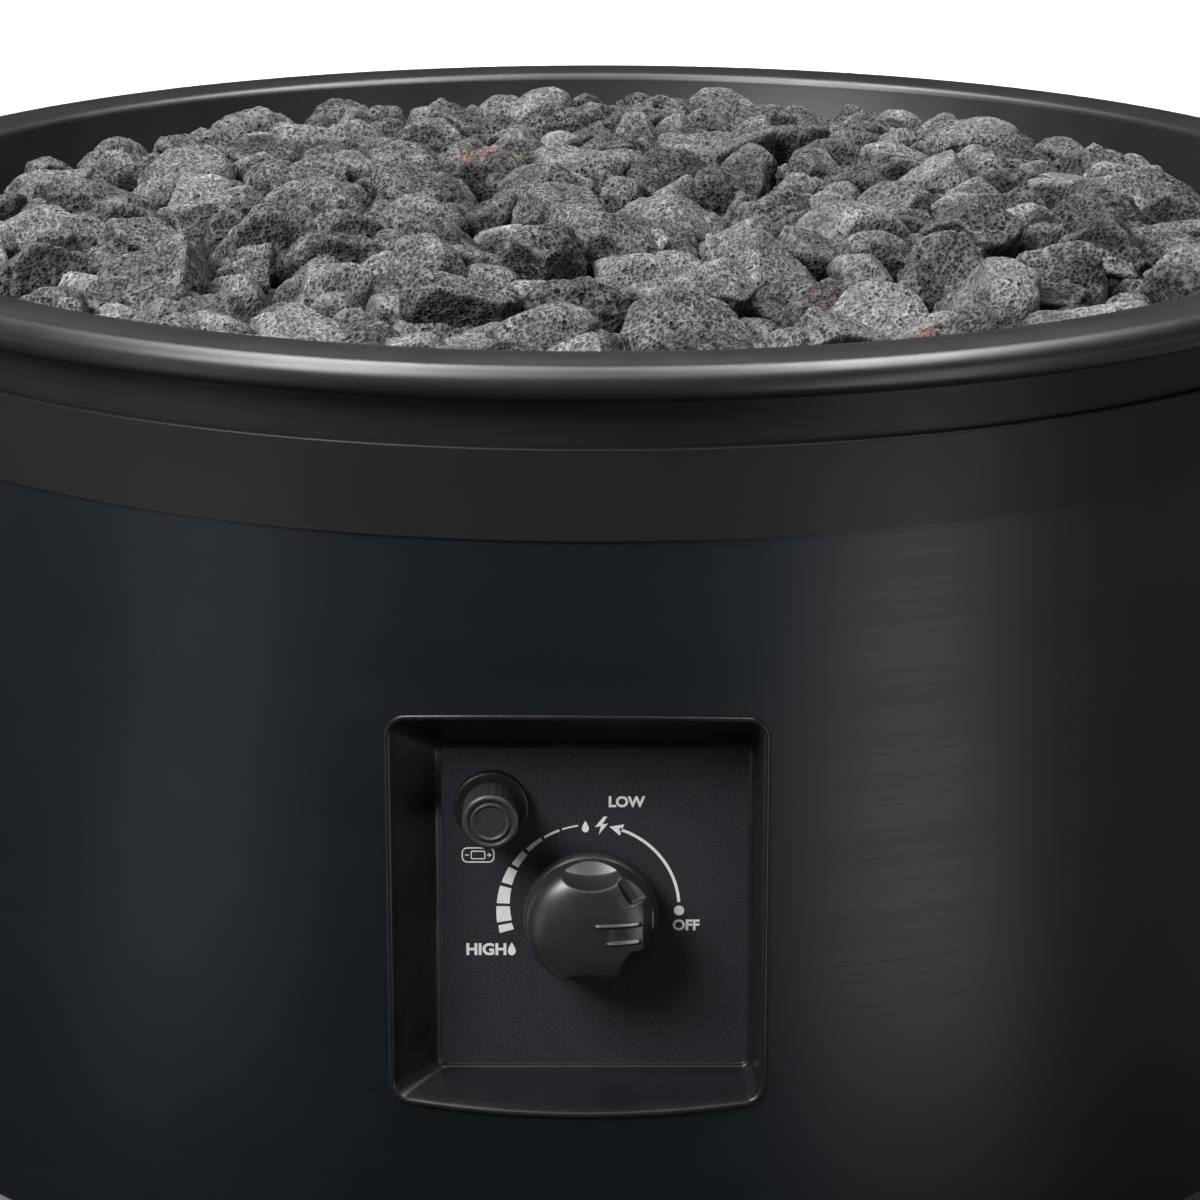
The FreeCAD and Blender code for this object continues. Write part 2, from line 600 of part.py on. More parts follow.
def burner_ring():
    body = new_body("burner_ring")
    upright(body, "hub", [
        ("0", "nipple_end"),
        ("nipple_radius", "nipple_end"),
        ("nipple_radius", "floor_top"),
        ("hub_radius", "floor_top"),
        ("hub_radius", "hub_top"),
        ("0", "hub_top"),
    ])
    extruded(body, "spokes", "YZ_Plane", "2 * ring_radius", middle=True,
             circles=[("0", "ring_z", "spoke_tube")])
    ring = sketch_on(body, "ring_section", "XZ_Plane")
    draw_circles(ring, [("ring_radius", "ring_z", "ring_tube")])
    turn = body.newObject("PartDesign::Revolution", "ring")
    turn.Profile = ring
    turn.ReferenceAxis = (ring, ["V_Axis"])
    turn.Angle = 360
    bore = sketch_on(body, "ring_bore_section", "XZ_Plane")
    draw_circles(bore, [("ring_radius", "ring_z", "ring_tube - tube_wall")])
    groove = body.newObject("PartDesign::Groove", "ring_bore")
    groove.Profile = bore
    groove.ReferenceAxis = (bore, ["V_Axis"])
    groove.Angle = 360
    body.Tip = groove
    extruded(body, "spoke_bore", "YZ_Plane", "2 * ring_radius", middle=True, cut=True,
             circles=[("0", "ring_z", "spoke_tube - tube_wall")])
    extruded(body, "hub_bore", "XY_Plane", "ring_z - nipple_end", cut=True,
             circles=[("0", "0", "gas_bore")], lift="ring_z")
    port = extruded(body, "port", "XY_Plane", "2 * tube_wall + 1", cut=True, lift="hub_top + 1",
                    circles=[("ring_radius * cos(5)", "ring_radius * sin(5)", "port_radius")])
    copies(body, [port], "port_count")


def burner_supports():
    body = new_body("burner_standoffs")
    x, y = "ring_radius * cos(90)", "ring_radius * sin(90)"
    post = upright(body, "standoff", [
        ("small_shank + running_gap", "floor_top"),
        ("standoff_radius", "floor_top"),
        ("standoff_radius", "floor_top + ring_lift - seat_gap"),
        ("small_shank + running_gap", "floor_top + ring_lift - seat_gap"),
    ], x, y)
    copies(body, [post], "standoff_count")
    body = new_body("standoff_screws")
    screw = upright_screw(body, "standoff_screw", "floor_under", "bowl_sheet + ring_lift - 3",
                          "small", x, y, up=False)
    copies(body, [screw], "standoff_count")
    body = new_body("burner_locknut")
    extruded(body, "locknut_hex", "XY_Plane", "locknut_height", lift="floor_under - locknut_height",
             outline=hexagon("locknut_flats"), circles=[("0", "0", "nipple_radius + running_gap")])


def air_mixer():
    body = new_body("air_mixer")
    upright(body, "mixer_tube", [
        ("jet_nozzle + running_gap", "mixer_bottom"),
        ("mixer_radius", "mixer_bottom"),
        ("mixer_radius", "mixer_top"),
        ("nipple_radius + running_gap", "mixer_top"),
        ("nipple_radius + running_gap", "mixer_bottom + mixer_floor"),
        ("jet_nozzle + running_gap", "mixer_bottom + mixer_floor"),
    ])
    low = "mixer_bottom + mixer_floor + 4"
    for name, plane in (("window_x", "YZ_Plane"), ("window_y", "XZ_Plane")):
        extruded(body, name, plane, "2 * mixer_radius + 4", middle=True, cut=True,
                 outline=box_outline("-window_width / 2", low, "window_width / 2",
                                     f"{low} + window_height"))
    body = new_body("orifice_jet")
    upright(body, "jet_nozzle_body", [
        ("jet_orifice", "jet_end"),
        ("jet_tail", "jet_end"),
        ("jet_tail", "mixer_bottom - jet_hex_height"),
        ("jet_tail + 0.5", "mixer_bottom"),
        ("jet_nozzle", "mixer_bottom"),
        ("jet_nozzle", "mixer_bottom + jet_nozzle_length - 3"),
        ("jet_nozzle - 2", "mixer_bottom + jet_nozzle_length"),
        ("jet_orifice", "mixer_bottom + jet_nozzle_length"),
    ])
    extruded(body, "jet_hex", "XY_Plane", "jet_hex_height", outline=hexagon("jet_flats"),
             circles=[("0", "0", "jet_tail - 1")], lift="mixer_bottom - jet_hex_height")


def heat_shield():
    body = new_body("heat_shield")
    holes = [("0", "0", "mixer_radius + 3")]
    holes += [(x, y, "small_shank + screw_gap")
              for x, y in ring_points("spacer_circle", "spacer_count", 45)]
    holes += [(x, "pilot_y", "lead_hole") for x in ("electrode_x", "probe_x")]
    extruded(body, "shield_disc", "XY_Plane", "shield_sheet", lift="shield_top - shield_sheet",
             circles=[("0", "0", "shield_radius")] + holes)
    body = new_body("shield_spacers")
    x, y = "spacer_circle * cos(45)", "spacer_circle * sin(45)"
    spacer = upright(body, "spacer", [
        ("small_shank + screw_gap", "shield_top"),
        ("spacer_radius", "shield_top"),
        ("spacer_radius", "floor_under"),
        ("small_shank + screw_gap", "floor_under"),
    ], x, y)
    copies(body, [spacer], "spacer_count")
    body = new_body("shield_screws")
    length = "bowl_sheet + shield_drop + shield_sheet + small_nut_height + 1"
    screw = upright_screw(body, "shield_screw", "floor_top", length, "small", x, y)
    copies(body, [screw], "spacer_count")
    nut_ring("shield_nuts", "small", "shield_top - shield_sheet - small_nut_height", "spacer_circle",
             "spacer_count", "45")


# Lava rock

def lava_bed():
    body = new_body("lava_bed")
    upright(body, "bed", [
        ("0", "bed_bottom"),
        ("bowl_base_radius - bowl_corner / 2", "bed_bottom"),
        ("bowl_base_radius - side_gap", "floor_top + bowl_corner"),
        ("bed_radius", "bed_top"),
        ("0", "bed_top"),
    ])
    low = "bed_bottom - 1"
    gap = "channel_gap"
    upright(body, "ring_channel", [
        (f"ring_radius - ring_tube - {gap}", low),
        (f"ring_radius + ring_tube + {gap}", low),
        (f"ring_radius + ring_tube + {gap}", f"hub_top + {gap}"),
        (f"ring_radius - ring_tube - {gap}", f"hub_top + {gap}"),
    ], cut=True)
    upright(body, "hub_channel", [
        ("0", low),
        (f"hub_radius + {gap}", low),
        (f"hub_radius + {gap}", f"hub_top + {gap}"),
        ("0", f"hub_top + {gap}"),
    ], cut=True)
    half = f"spoke_tube + {gap}"
    extruded(body, "spoke_channel", "XY_Plane", f"ring_z + {half} - ({low})", lift=low, cut=True,
             back=True, outline=box_outline("-ring_radius", f"-({half})", "ring_radius", half))
    side = "pilot_plate_half + hood_sheet + 3"
    depth = "pilot_plate_depth / 2 + 3"
    extruded(body, "pilot_pocket", "XY_Plane", "floor_top + hood_height + channel_gap - bed_bottom + 1",
             lift=low, cut=True, back=True,
             outline=box_outline(f"pilot_x - ({side})", f"pilot_y - ({depth})",
                                 f"pilot_x + {side}", "-ring_radius"))


def stone(centre, radius, height, seed):
    """A faceted stone that stands on a flat bottom, inside a circle of the given radius."""
    def wobble(number, low, high):
        wave = math.sin(seed * 12.9898 + number * 78.233) * 43758.5453
        return low + (high - low) * (wave - math.floor(wave))

    sides = 6
    turn = wobble(0, 0, math.pi)

    def level(number, low, high, z):
        points = []
        for side in range(sides):
            angle = turn + 2 * math.pi * (side + 0.5 * (number % 2)) / sides
            reach = radius * wobble(10 * number + side + 1, low, high)
            points.append(centre + Vector(reach * math.cos(angle), reach * math.sin(angle), z))
        return points

    bottom = level(0, 0.55, 0.7, 0)
    middle = level(1, 0.86, 1.0, height * wobble(91, 0.35, 0.5))
    top = level(2, 0.4, 0.62, height)
    faces = [bottom[::-1], top]
    for low, high, shift in ((bottom, middle, 0), (middle, top, 1)):
        for side in range(sides):
            after = (side + 1) % sides
            if shift:
                faces.append([low[side], high[(side + 1) % sides], high[side]])
                faces.append([low[side], low[after], high[after]])
            else:
                faces.append([low[side], low[after], high[side]])
                faces.append([low[after], high[after], high[side]])
    shell = Part.Shell([Part.Face(Part.makePolygon(face + [face[0]])) for face in faces])
    return Part.Solid(shell)


def lava_rocks():
    """The top layer of stones, in rings on the bed, each one in its own circle."""
    rings = round(value("rock_rings"))
    pitch = value("rock_pitch")
    stones = []
    for ring in range(rings + 1):
        places = max(6 * ring, 1)
        for place in range(places):
            seed = len(stones) + 1
            angle = 2 * math.pi * (place + 0.5 * (ring % 2)) / places
            crown = 0.5 * (1 - (ring / rings) ** 2)
            rise = crown - 0.25 + 0.5 * math.sin(7.13 * seed)
            height = value("rock_height") + value("rock_spread") * rise
            centre = Vector(ring * pitch * math.cos(angle), ring * pitch * math.sin(angle),
                            value("bed_top + seat_gap"))
            stones.append(stone(centre, (pitch - value("seat_gap")) / 2, height, seed))
    group = DOC.addObject("Part::Feature", "lava_rocks")
    group.Label = "lava_rocks"
    group.Shape = Part.makeCompound(stones)


# Control recess

def frame_sketch(name, width, height, corner, bow, x, z, front):
    """An outline in a plane that faces the front, at the given front distance."""
    sketch = DOC.addObject("Sketcher::SketchObject", name)
    draw_outline(sketch, rounded_box(width, height, corner, bow))
    sketch.Placement = Placement(Vector(value(x), -value(front), value(z)),
                                 Rotation(Vector(1, 0, 0), 90))
    for axis, amount in (("x", x), ("y", f"-({front})"), ("z", z)):
        sketch.setExpression("Placement.Base." + axis, bound(amount))
    return sketch


def loft(name, sections):
    feature = DOC.addObject("Part::Loft", name)
    feature.Sections = sections
    feature.Solid = True
    feature.Ruled = True
    return feature


def cylinder(name, radius, height, z):
    feature = DOC.addObject("Part::Cylinder", name)
    feature.setExpression("Radius", bound(radius))
    feature.setExpression("Height", bound(height))
    feature.setExpression("Placement.Base.z", bound(z))
    return feature


def boolean(kind, name, base, tool):
    feature = DOC.addObject("Part::" + kind, name)
    feature.Base = base
    feature.Tool = tool
    return feature


def frame_loft(name, inset, floor_grow, front):
    """The sloped sides of the recess, from the drum's face back to the floor plate's face."""
    mouth = frame_sketch(name + "_mouth", f"frame_width - 2 * ({inset})",
                         f"frame_height - 2 * ({inset})", f"frame_corner - ({inset})", "frame_bow",
                         "frame_x", "frame_z", front)
    floor = frame_sketch(name + "_floor", f"floor_width + 2 * ({floor_grow})",
                         f"floor_height + 2 * ({floor_grow})", f"floor_corner + ({floor_grow})", "0",
                         "floor_x", "floor_z", "plate_front")
    return loft(name, [mouth, floor])


def floor_block(name, grow, front, back):
    """A straight block of the floor's outline between two front distances."""
    outlines = [frame_sketch(f"{name}_{end}", f"floor_width + 2 * ({grow})",
                             f"floor_height + 2 * ({grow})", "floor_corner", "0",
                             "floor_x", "floor_z", place)
                for end, place in (("front", front), ("back", back))]
    return loft(name, outlines)


def control_bezel():
    reach = "wall_radius + lip_sheet + 2"
    outer = frame_loft("bezel_outside", "lip_lap + hole_gap", "bezel_wall", reach)
    tail = floor_block("bezel_tail", "bezel_wall", "plate_front", "ledge_back")
    tray = boolean("Fuse", "bezel_tray", outer, tail)
    skin = cylinder("lip_outside", "wall_radius + lip_sheet", "total_height", "0")
    tray = boolean("Common", "bezel_trimmed", tray, skin)
    lip = loft("lip_prism", [frame_sketch(f"lip_{end}", "frame_width", "frame_height",
                                          "frame_corner", "frame_bow", "frame_x", "frame_z", place)
                             for end, place in (("front", reach), ("back", "plate_front"))])
    skin = cylinder("lip_shell_outside", "wall_radius + lip_sheet", "total_height", "0")
    drum = cylinder("lip_shell_inside", "wall_radius + seat_gap / 2", "total_height", "0")
    shell = boolean("Cut", "lip_shell", skin, drum)
    lip = boolean("Common", "bezel_lip", lip, shell)
    solid = boolean("Fuse", "bezel_solid", tray, lip)
    inner = frame_loft("bezel_inside", "lip_lap + hole_gap + bezel_wall", "0", reach)
    solid = boolean("Cut", "bezel_open", solid, inner)
    pocket = floor_block("plate_pocket", "0", "plate_front + 0.01", "plate_back")
    solid = boolean("Cut", "bezel_pocket", solid, pocket)
    through = floor_block("ledge_opening", "-ledge_width", "plate_front", "ledge_back - 1")
    solid = boolean("Cut", "bezel_through", solid, through)
    studs = stud_block("stud_passages", "small_shank + screw_gap", "plate_front", "ledge_back - 1")
    solid = boolean("Cut", "control_bezel", solid, studs)
    solid.Label = "control_bezel"


def stud_places():
    x = "(floor_width / 2 - plate_gap - stud_inset)"
    z = "(floor_height / 2 - plate_gap - ledge_width / 2)"
    return [(f"floor_x + {a} * {x}", f"floor_z + {b} * {z}") for a in (-1, 1) for b in (-1, 1)]


def stud_block(name, radius, front, back):
    parts = []
    for number, (x, z) in enumerate(stud_places()):
        rod = cylinder(f"{name}_{number}", radius, f"{front} - ({back})", "0")
        rod.Placement = Placement(Vector(0, 0, 0), Rotation(Vector(1, 0, 0), 90))
        for axis, amount in (("x", x), ("y", f"-({back})"), ("z", z)):
            rod.setExpression("Placement.Base." + axis, bound(amount))
        parts.append(rod)
    group = DOC.addObject("Part::MultiFuse", name)
    group.Shapes = parts
    return group


def control_plate():
    body = new_body("control_plate")
    outline = rounded_box("floor_width - 2 * plate_gap", "floor_height - 2 * plate_gap",
                          "floor_corner")
    extruded(body, "plate", "XZ_Plane", "plate_sheet", outline=outline, x="floor_x", y="floor_z",
             lift="plate_back")
    holes = [("knob_x", "knob_z", "stem_radius + 1"), ("cap_x", "cap_z", "barrel_radius + screw_gap")]
    holes += [(f"knob_x + {side} * lug_screw", "knob_z", "small_shank + screw_gap") for side in (-1, 1)]
    extruded(body, "plate_holes", "XZ_Plane", "2 * plate_sheet", cut=True,
             lift="plate_front + 1", circles=holes)
    extruded(body, "studs", "XZ_Plane", "stud_length", back=True, lift="plate_back",
             circles=[(x, z, "small_shank") for x, z in stud_places()])


def clamp_bars():
    body = new_body("clamp_bars")
    height = "(floor_height / 2 - plate_gap - ledge_width / 2)"
    ends = []
    for side in (-1, 1):
        far = f"frame_x + {side} * (frame_width / 2 + clamp_reach)"
        ends.append((far, f"sqrt((wall_inner - seat_gap)^2 - ({far})^2)"))
    front = "ledge_back"
    back = "ledge_back - clamp_sheet"
    for number, sign in enumerate((-1, 1)):
        z = f"floor_z + {sign} * {height} - clamp_width / 2"
        outline = [
            (ends[0][0], f"-({back})"),
            (ends[0][0], f"-({ends[0][1]})"),
            (f"{ends[0][0]} + clamp_sheet", f"-({ends[0][1]})"),
            (f"{ends[0][0]} + clamp_sheet", f"-({front})"),
            (f"{ends[1][0]} - clamp_sheet", f"-({front})"),
            (f"{ends[1][0]} - clamp_sheet", f"-({ends[1][1]})"),
            (ends[1][0], f"-({ends[1][1]})"),
            (ends[1][0], f"-({back})"),
        ]
        extruded(body, f"clamp_{number}", "XY_Plane", "clamp_width", outline=outline, lift=z)
    extruded(body, "clamp_holes", "XZ_Plane", "3 * clamp_sheet", cut=True,
             lift="ledge_back + 1", circles=[(x, z, "small_shank + screw_gap")
                                             for x, z in stud_places()])
    body = new_body("plate_nuts")
    for number, (x, z) in enumerate(stud_places()):
        extruded(body, f"plate_nut_{number}", "XZ_Plane", "small_nut_height", back=True,
                 outline=hexagon("small_nut"), circles=[("0", "0", "small_shank + running_gap")],
                 x=x, y=z, lift=back)


# Knob, stem and valve

def knob():
    body = new_body("knob")
    face_edge = "dome_radius - knob_shoulder"
    crown_radius = f"(({face_edge})^2 + knob_crown^2) / (2 * knob_crown)"
    facing(body, "knob_round", [
        ("0", "knob_base"),
        ("knob_radius", "knob_base"),
        ("knob_radius", "knob_base + skirt_height - skirt_round"),
        ("knob_radius - skirt_round", "knob_base + skirt_height", "skirt_round", "left"),
        ("dome_radius - 0.6", "knob_base + skirt_height"),
        ("dome_radius - 0.6", "knob_face - knob_crown - knob_shoulder"),
        (f"{face_edge} - 0.6", "knob_face - knob_crown", "knob_shoulder", "left"),
        ("0", "knob_face", crown_radius, "left"),
    ], "knob_x", "knob_z")
    for name, sign in (("scoop_above", 1), ("scoop_below", -1)):
        extruded(body, name, "XZ_Plane", "knob_height - skirt_height + 1", cut=True,
                 lift="knob_face + 1", x="knob_x", y="knob_z", taper="scoop_taper",
                 circles=[("0", f"{sign} * (grip_half + scoop_radius)", "scoop_radius")])
    for name, sign in (("pointer_above", 1), ("pointer_below", -1)):
        z = f"{sign} * pointer_half"
        extruded(body, name, "XZ_Plane", "knob_crown + 2.2", lift="knob_face - knob_crown - 2",
                 x="knob_x", y="knob_z",
                 outline=box_outline("pointer_start", f"{z} - pointer_width / 2",
                                     "pointer_start + pointer_length", f"{z} + pointer_width / 2"))
    facing(body, "knob_cavity", [
        ("knob_hub", "knob_base - 1"),
        ("knob_cavity", "knob_base - 1"),
        ("knob_cavity", "knob_base + cavity_depth"),
        ("knob_hub", "knob_base + cavity_depth"),
    ], "knob_x", "knob_z", cut=True)
    flat = "stem_radius - stem_flat + running_gap"
    chord = f"sqrt(stem_hole^2 - ({flat})^2)"
    extruded(body, "stem_socket", "XZ_Plane", "stem_grip + battery_gap", cut=True, back=True,
             lift="knob_base", x="knob_x", y="knob_z", outline=[
                 (f"-{chord}", flat), ("-(stem_hole)", "0", "stem_hole", "left"),
                 ("0", "-(stem_hole)", "stem_hole", "left"), ("stem_hole", "0", "stem_hole", "left"),
                 (chord, flat, "stem_hole", "left")])


def valve_stem():
    body = new_body("valve_stem")
    groove = "stem_radius - clip_groove"
    clip_back = "clip_front - clip_sheet"
    facing(body, "stem", [
        ("0", "stem_end"),
        ("stem_radius", "stem_end"),
        ("stem_radius", clip_back),
        (groove, clip_back),
        (groove, "clip_front"),
        ("stem_radius", "clip_front"),
        ("stem_radius", "knob_base + stem_grip"),
        ("0", "knob_base + stem_grip"),
    ], "knob_x", "knob_z")
    extruded(body, "tongue", "XZ_Plane", "stem_end - tongue_end", back=True,
             lift="stem_end", x="knob_x", y="knob_z",
             outline=box_outline("-tongue_width / 2", "-tongue_thick / 2",
                                 "tongue_width / 2", "tongue_thick / 2"))
    flat = "stem_radius - stem_flat"
    extruded(body, "stem_flat_cut", "XZ_Plane", "stem_grip", cut=True,
             lift="knob_base + stem_grip", x="knob_x", y="knob_z",
             outline=box_outline("-stem_radius - 1", flat, "stem_radius + 1", "stem_radius + 1"))
    body = new_body("stem_clip")
    opening = f"2 * ({groove}) * 0.7"
    extruded(body, "clip_ring", "XZ_Plane", "clip_sheet", lift=clip_back, x="knob_x", y="knob_z",
             circles=[("0", "0", "clip_radius"), ("0", "0", f"{groove} + running_gap")])
    extruded(body, "clip_opening", "XZ_Plane", "clip_sheet + 2", cut=True, lift="clip_front + 1",
             x="knob_x", y="knob_z",
             outline=box_outline(f"-({opening}) / 2", "-clip_radius - 1", f"({opening}) / 2", "0"))


def thrust_collar():
    body = new_body("thrust_collar")
    extruded(body, "collar_disc", "XZ_Plane", "collar_thick", lift="collar_back",
             x="knob_x", y="knob_z", circles=[("0", "0", "collar_radius")])
    extruded(body, "collar_ear", "XZ_Plane", "collar_thick", lift="collar_back",
             x="knob_x", y="knob_z",
             outline=box_outline("-ear_half", "0", "ear_half", "ear_reach"))
    extruded(body, "collar_hole", "XZ_Plane", "collar_thick + 2", cut=True, lift="collar_front + 1",
             x="knob_x", y="knob_z", circles=[("0", "0", "stem_hole")])


def tangent_arc(start, way, end):
    """The arc that leaves start along a way and ends at end."""
    chord = end - start
    side = (chord - way * chord.dot(way)).normalize()
    radius = chord.Length ** 2 / (2 * chord.dot(side))
    centre = start + side * radius
    middle = ((start - centre).normalize() + (end - centre).normalize()).normalize()
    return Part.Arc(start, centre + middle * radius, end).toShape()


def biarc(start, way_out, end, way_in):
    """Two arcs that join smoothly, from start along one way to end along another."""
    chord = end - start
    spread = 2 * (1 - way_out.dot(way_in))
    along = 2 * chord.dot(way_out + way_in)
    reach = (math.sqrt(along ** 2 + 4 * spread * chord.dot(chord)) - along) / (2 * spread)
    first, second = start + way_out * reach, end - way_in * reach
    middle = (first + second) * 0.5
    return [tangent_arc(start, way_out, middle), tangent_arc(middle, (second - first).normalize(), end)]


def stem_spring():
    """An unbroken wire coil between the thrust collar and the back of the bonnet."""
    front, back = value("collar_back - seat_gap"), value("bonnet_back + seat_gap")
    thick, radius, turns = value("spring_wire"), value("spring_radius"), value("spring_turns")
    rise = front - back - thick
    gap = rise / turns - thick
    if gap <= 0.4:
        raise ValueError("stem_spring's turns touch")
    print("stem_spring turns", turns, "least gap", round(gap, 2))

    def place(angle):
        return Vector(value("knob_x") + radius * math.cos(angle),
                      -(back + thick / 2 + rise * angle / (2 * math.pi * turns)),
                      value("knob_z") + radius * math.sin(angle))

    def way(angle):
        return Vector(-radius * math.sin(angle), -rise / (2 * math.pi * turns),
                      radius * math.cos(angle)).normalize()

    steps = [math.pi / 2 * step for step in range(round(4 * turns) + 1)]
    edges = []
    for low, high in zip(steps, steps[1:]):
        edges += biarc(place(low), way(low), place(high), way(high))
    section = Part.Wire(Part.Circle(place(0), way(0), thick / 2).toShape())
    spring = DOC.addObject("Part::Feature", "stem_spring")
    spring.Label = "stem_spring"
    spring.Shape = Part.Wire(edges).makePipeShell([section], True, False)


def valve_plug():
    body = new_body("valve_plug")
    rear = "plug_face - plug_length"
    facing(body, "plug_cone", [
        ("0", "plug_face"),
        ("plug_front", "plug_face"),
        ("plug_rear", rear),
        ("plug_bore", rear),
        ("plug_bore", f"{rear} + plug_length * 0.4"),
        ("0", f"{rear} + plug_length * 0.4"),
    ], "knob_x", "knob_z")
    wide, thick = "tongue_width / 2 + 0.15", "tongue_thick / 2 + 0.1"
    extruded(body, "tongue_slot", "XZ_Plane", "tongue_length + push_travel", cut=True,
             lift="plug_face", x="knob_x", y="knob_z",
             outline=box_outline(f"-({wide})", f"-({thick})", wide, thick))
    extruded(body, "plug_passage", "XY_Plane", "plug_front + 2", cut=True,
             lift="knob_z", circles=[("knob_x", f"-({rear} + plug_length * 0.3)", "plug_port")])


def gas_valve_body():
    body = new_body("gas_valve_body")
    facing(body, "valve_core", [
        ("stem_hole", "plate_back"),
        ("bonnet_radius", "plate_back"),
        ("bonnet_radius", "chamber_front"),
        ("valve_radius", "chamber_front"),
        ("valve_radius", "valve_back"),
        ("magnet_radius + running_gap", "valve_back"),
        ("magnet_radius + running_gap", "magnet_front"),
        ("passage_radius", "magnet_front"),
        ("passage_radius", "chamber_back"),
        ("plug_rear + running_gap", "chamber_back"),
        ("plug_front + running_gap", "plug_face"),
        ("plug_front + running_gap", "chamber_front"),
        ("stem_hole", "chamber_front"),
        ("stem_hole", "bonnet_back"),
        ("bonnet_bore", "bonnet_back"),
        ("bonnet_bore", "bonnet_front"),
        ("stem_hole", "bonnet_front"),
    ], "knob_x", "knob_z")
    for name, sign in (("lug_left", -1), ("lug_right", 1)):
        near, far = f"{sign} * (bonnet_bore + 1)", f"{sign} * lug_reach"
        extruded(body, name, "XZ_Plane", "lug_sheet", lift="plate_back - lug_sheet",
                 x="knob_x", y="knob_z", outline=box_outline(near, "-lug_half", far, "lug_half"))
    extruded(body, "lug_holes", "XZ_Plane", "2 * lug_sheet", cut=True, lift="plate_back + 1",
             x="knob_x", y="knob_z", circles=[(f"{sign} * lug_screw", "0", "small_shank + running_gap")
                                              for sign in (-1, 1)])
    extruded(body, "inlet_boss", "XY_Plane", "inlet_drop - valve_radius + 3", back=True,
             lift="knob_z - valve_radius + 3", x="knob_x", y="-inlet_front",
             circles=[("0", "0", "port_boss")])
    extruded(body, "inlet_bore", "XY_Plane", "inlet_drop", cut=True, back=True,
             lift="knob_z - inlet_drop - 1", x="knob_x", y="-inlet_front", circles=[("0", "0", "port_bore")])
    outlet_y = "-(chamber_front - plug_length / 2)"
    extruded(body, "outlet_boss", "YZ_Plane", "outlet_reach - valve_radius + 3",
             lift="knob_x + valve_radius - 3", x=outlet_y, y="knob_z",
             circles=[("0", "0", "port_boss - 1")])
    extruded(body, "outlet_bore", "YZ_Plane", "outlet_reach", cut=True,
             lift="knob_x + outlet_reach + 1", x=outlet_y, y="knob_z",
             circles=[("0", "0", "port_bore")])
    extruded(body, "switch_pad", "XZ_Plane", "switch_depth", lift="chamber_front",
             x="knob_x", y="knob_z",
             outline=box_outline("-switch_half", "bonnet_bore + 1", "switch_half", "switch_base"))
    extruded(body, "pad_holes", "XY_Plane", "switch_base - bonnet_bore - 1", cut=True,
             lift="knob_z + switch_base", x="knob_x", circles=switch_holes("tiny_shank + running_gap"))
    extruded(body, "ear_slot", "XZ_Plane", "bonnet_front - (collar_back - push_travel) + 0.5",
             cut=True, lift="bonnet_front", x="knob_x", y="knob_z",
             outline=box_outline("-ear_half - 0.5", "bonnet_bore - 2", "ear_half + 0.5",
                                 "bonnet_radius + 3"))
    body = new_body("valve_screws")
    for name, sign in (("valve_screw_left", -1), ("valve_screw_right", 1)):
        outline = screw_outline("plate_front", "plate_sheet + lug_sheet + 3", "small_shank",
                                "small_head", "small_head_height")
        facing(body, name, outline, f"knob_x + {sign} * lug_screw", "knob_z")


def switch_holes(radius):
    place = "-(chamber_front + switch_depth / 2)"
    return [(f"{sign} * (switch_half - 3)", place, radius) for sign in (-1, 1)]


def microswitch():
    body = new_body("microswitch")
    extruded(body, "switch_case", "XZ_Plane", "switch_depth", lift="chamber_front",
             x="knob_x", y="knob_z",
             outline=box_outline("-switch_half", "switch_base", "switch_half",
                                 "switch_base + switch_height"))
    extruded(body, "switch_screw_holes", "XY_Plane", "switch_height + 2", cut=True,
             lift="knob_z + switch_base + switch_height + 1", x="knob_x",
             circles=switch_holes("tiny_shank + screw_gap"))
    extruded(body, "plunger_bore", "XZ_Plane", "switch_depth - 2", cut=True, lift="switch_front",
             x="knob_x", y="knob_z", circles=[("0", "plunger_lift", "plunger_radius + running_gap")])
    body = new_body("switch_plunger")
    front = "collar_back - seat_gap"
    facing(body, "plunger", [
        ("0", f"{front} - plunger_length"),
        ("plunger_radius", f"{front} - plunger_length"),
        ("plunger_radius", f"{front} - 0.5"),
        ("plunger_radius - 0.5", front),
        ("0", front),
    ], "knob_x", "knob_z + plunger_lift")
    body = new_body("switch_screws")
    for name, (x, y, radius) in zip(("switch_screw_left", "switch_screw_right"), switch_holes("0")):
        upright_screw(body, name, "knob_z + switch_base + switch_height", "switch_height + 3", "tiny",
                      f"knob_x + {x}", y)


def safety_magnet():
    body = new_body("safety_magnet")
    hex_front = "valve_back"
    facing(body, "magnet_round", [
        ("0", "magnet_front - seat_gap"),
        ("magnet_radius", "magnet_front - seat_gap"),
        ("magnet_radius", hex_front),
        ("magnet_radius + 0.5", hex_front),
        ("magnet_radius + 0.5", f"{hex_front} - magnet_hex"),
        ("tail_radius", f"{hex_front} - magnet_hex"),
        ("tail_radius", f"{hex_front} - magnet_hex - tail_length"),
        ("0", f"{hex_front} - magnet_hex - tail_length"),
    ], "knob_x", "knob_z")
    extruded(body, "magnet_flats_pad", "XZ_Plane", "magnet_hex", back=True, lift=hex_front,
             outline=hexagon("magnet_flats"), x="knob_x", y="knob_z")


# Igniter and battery

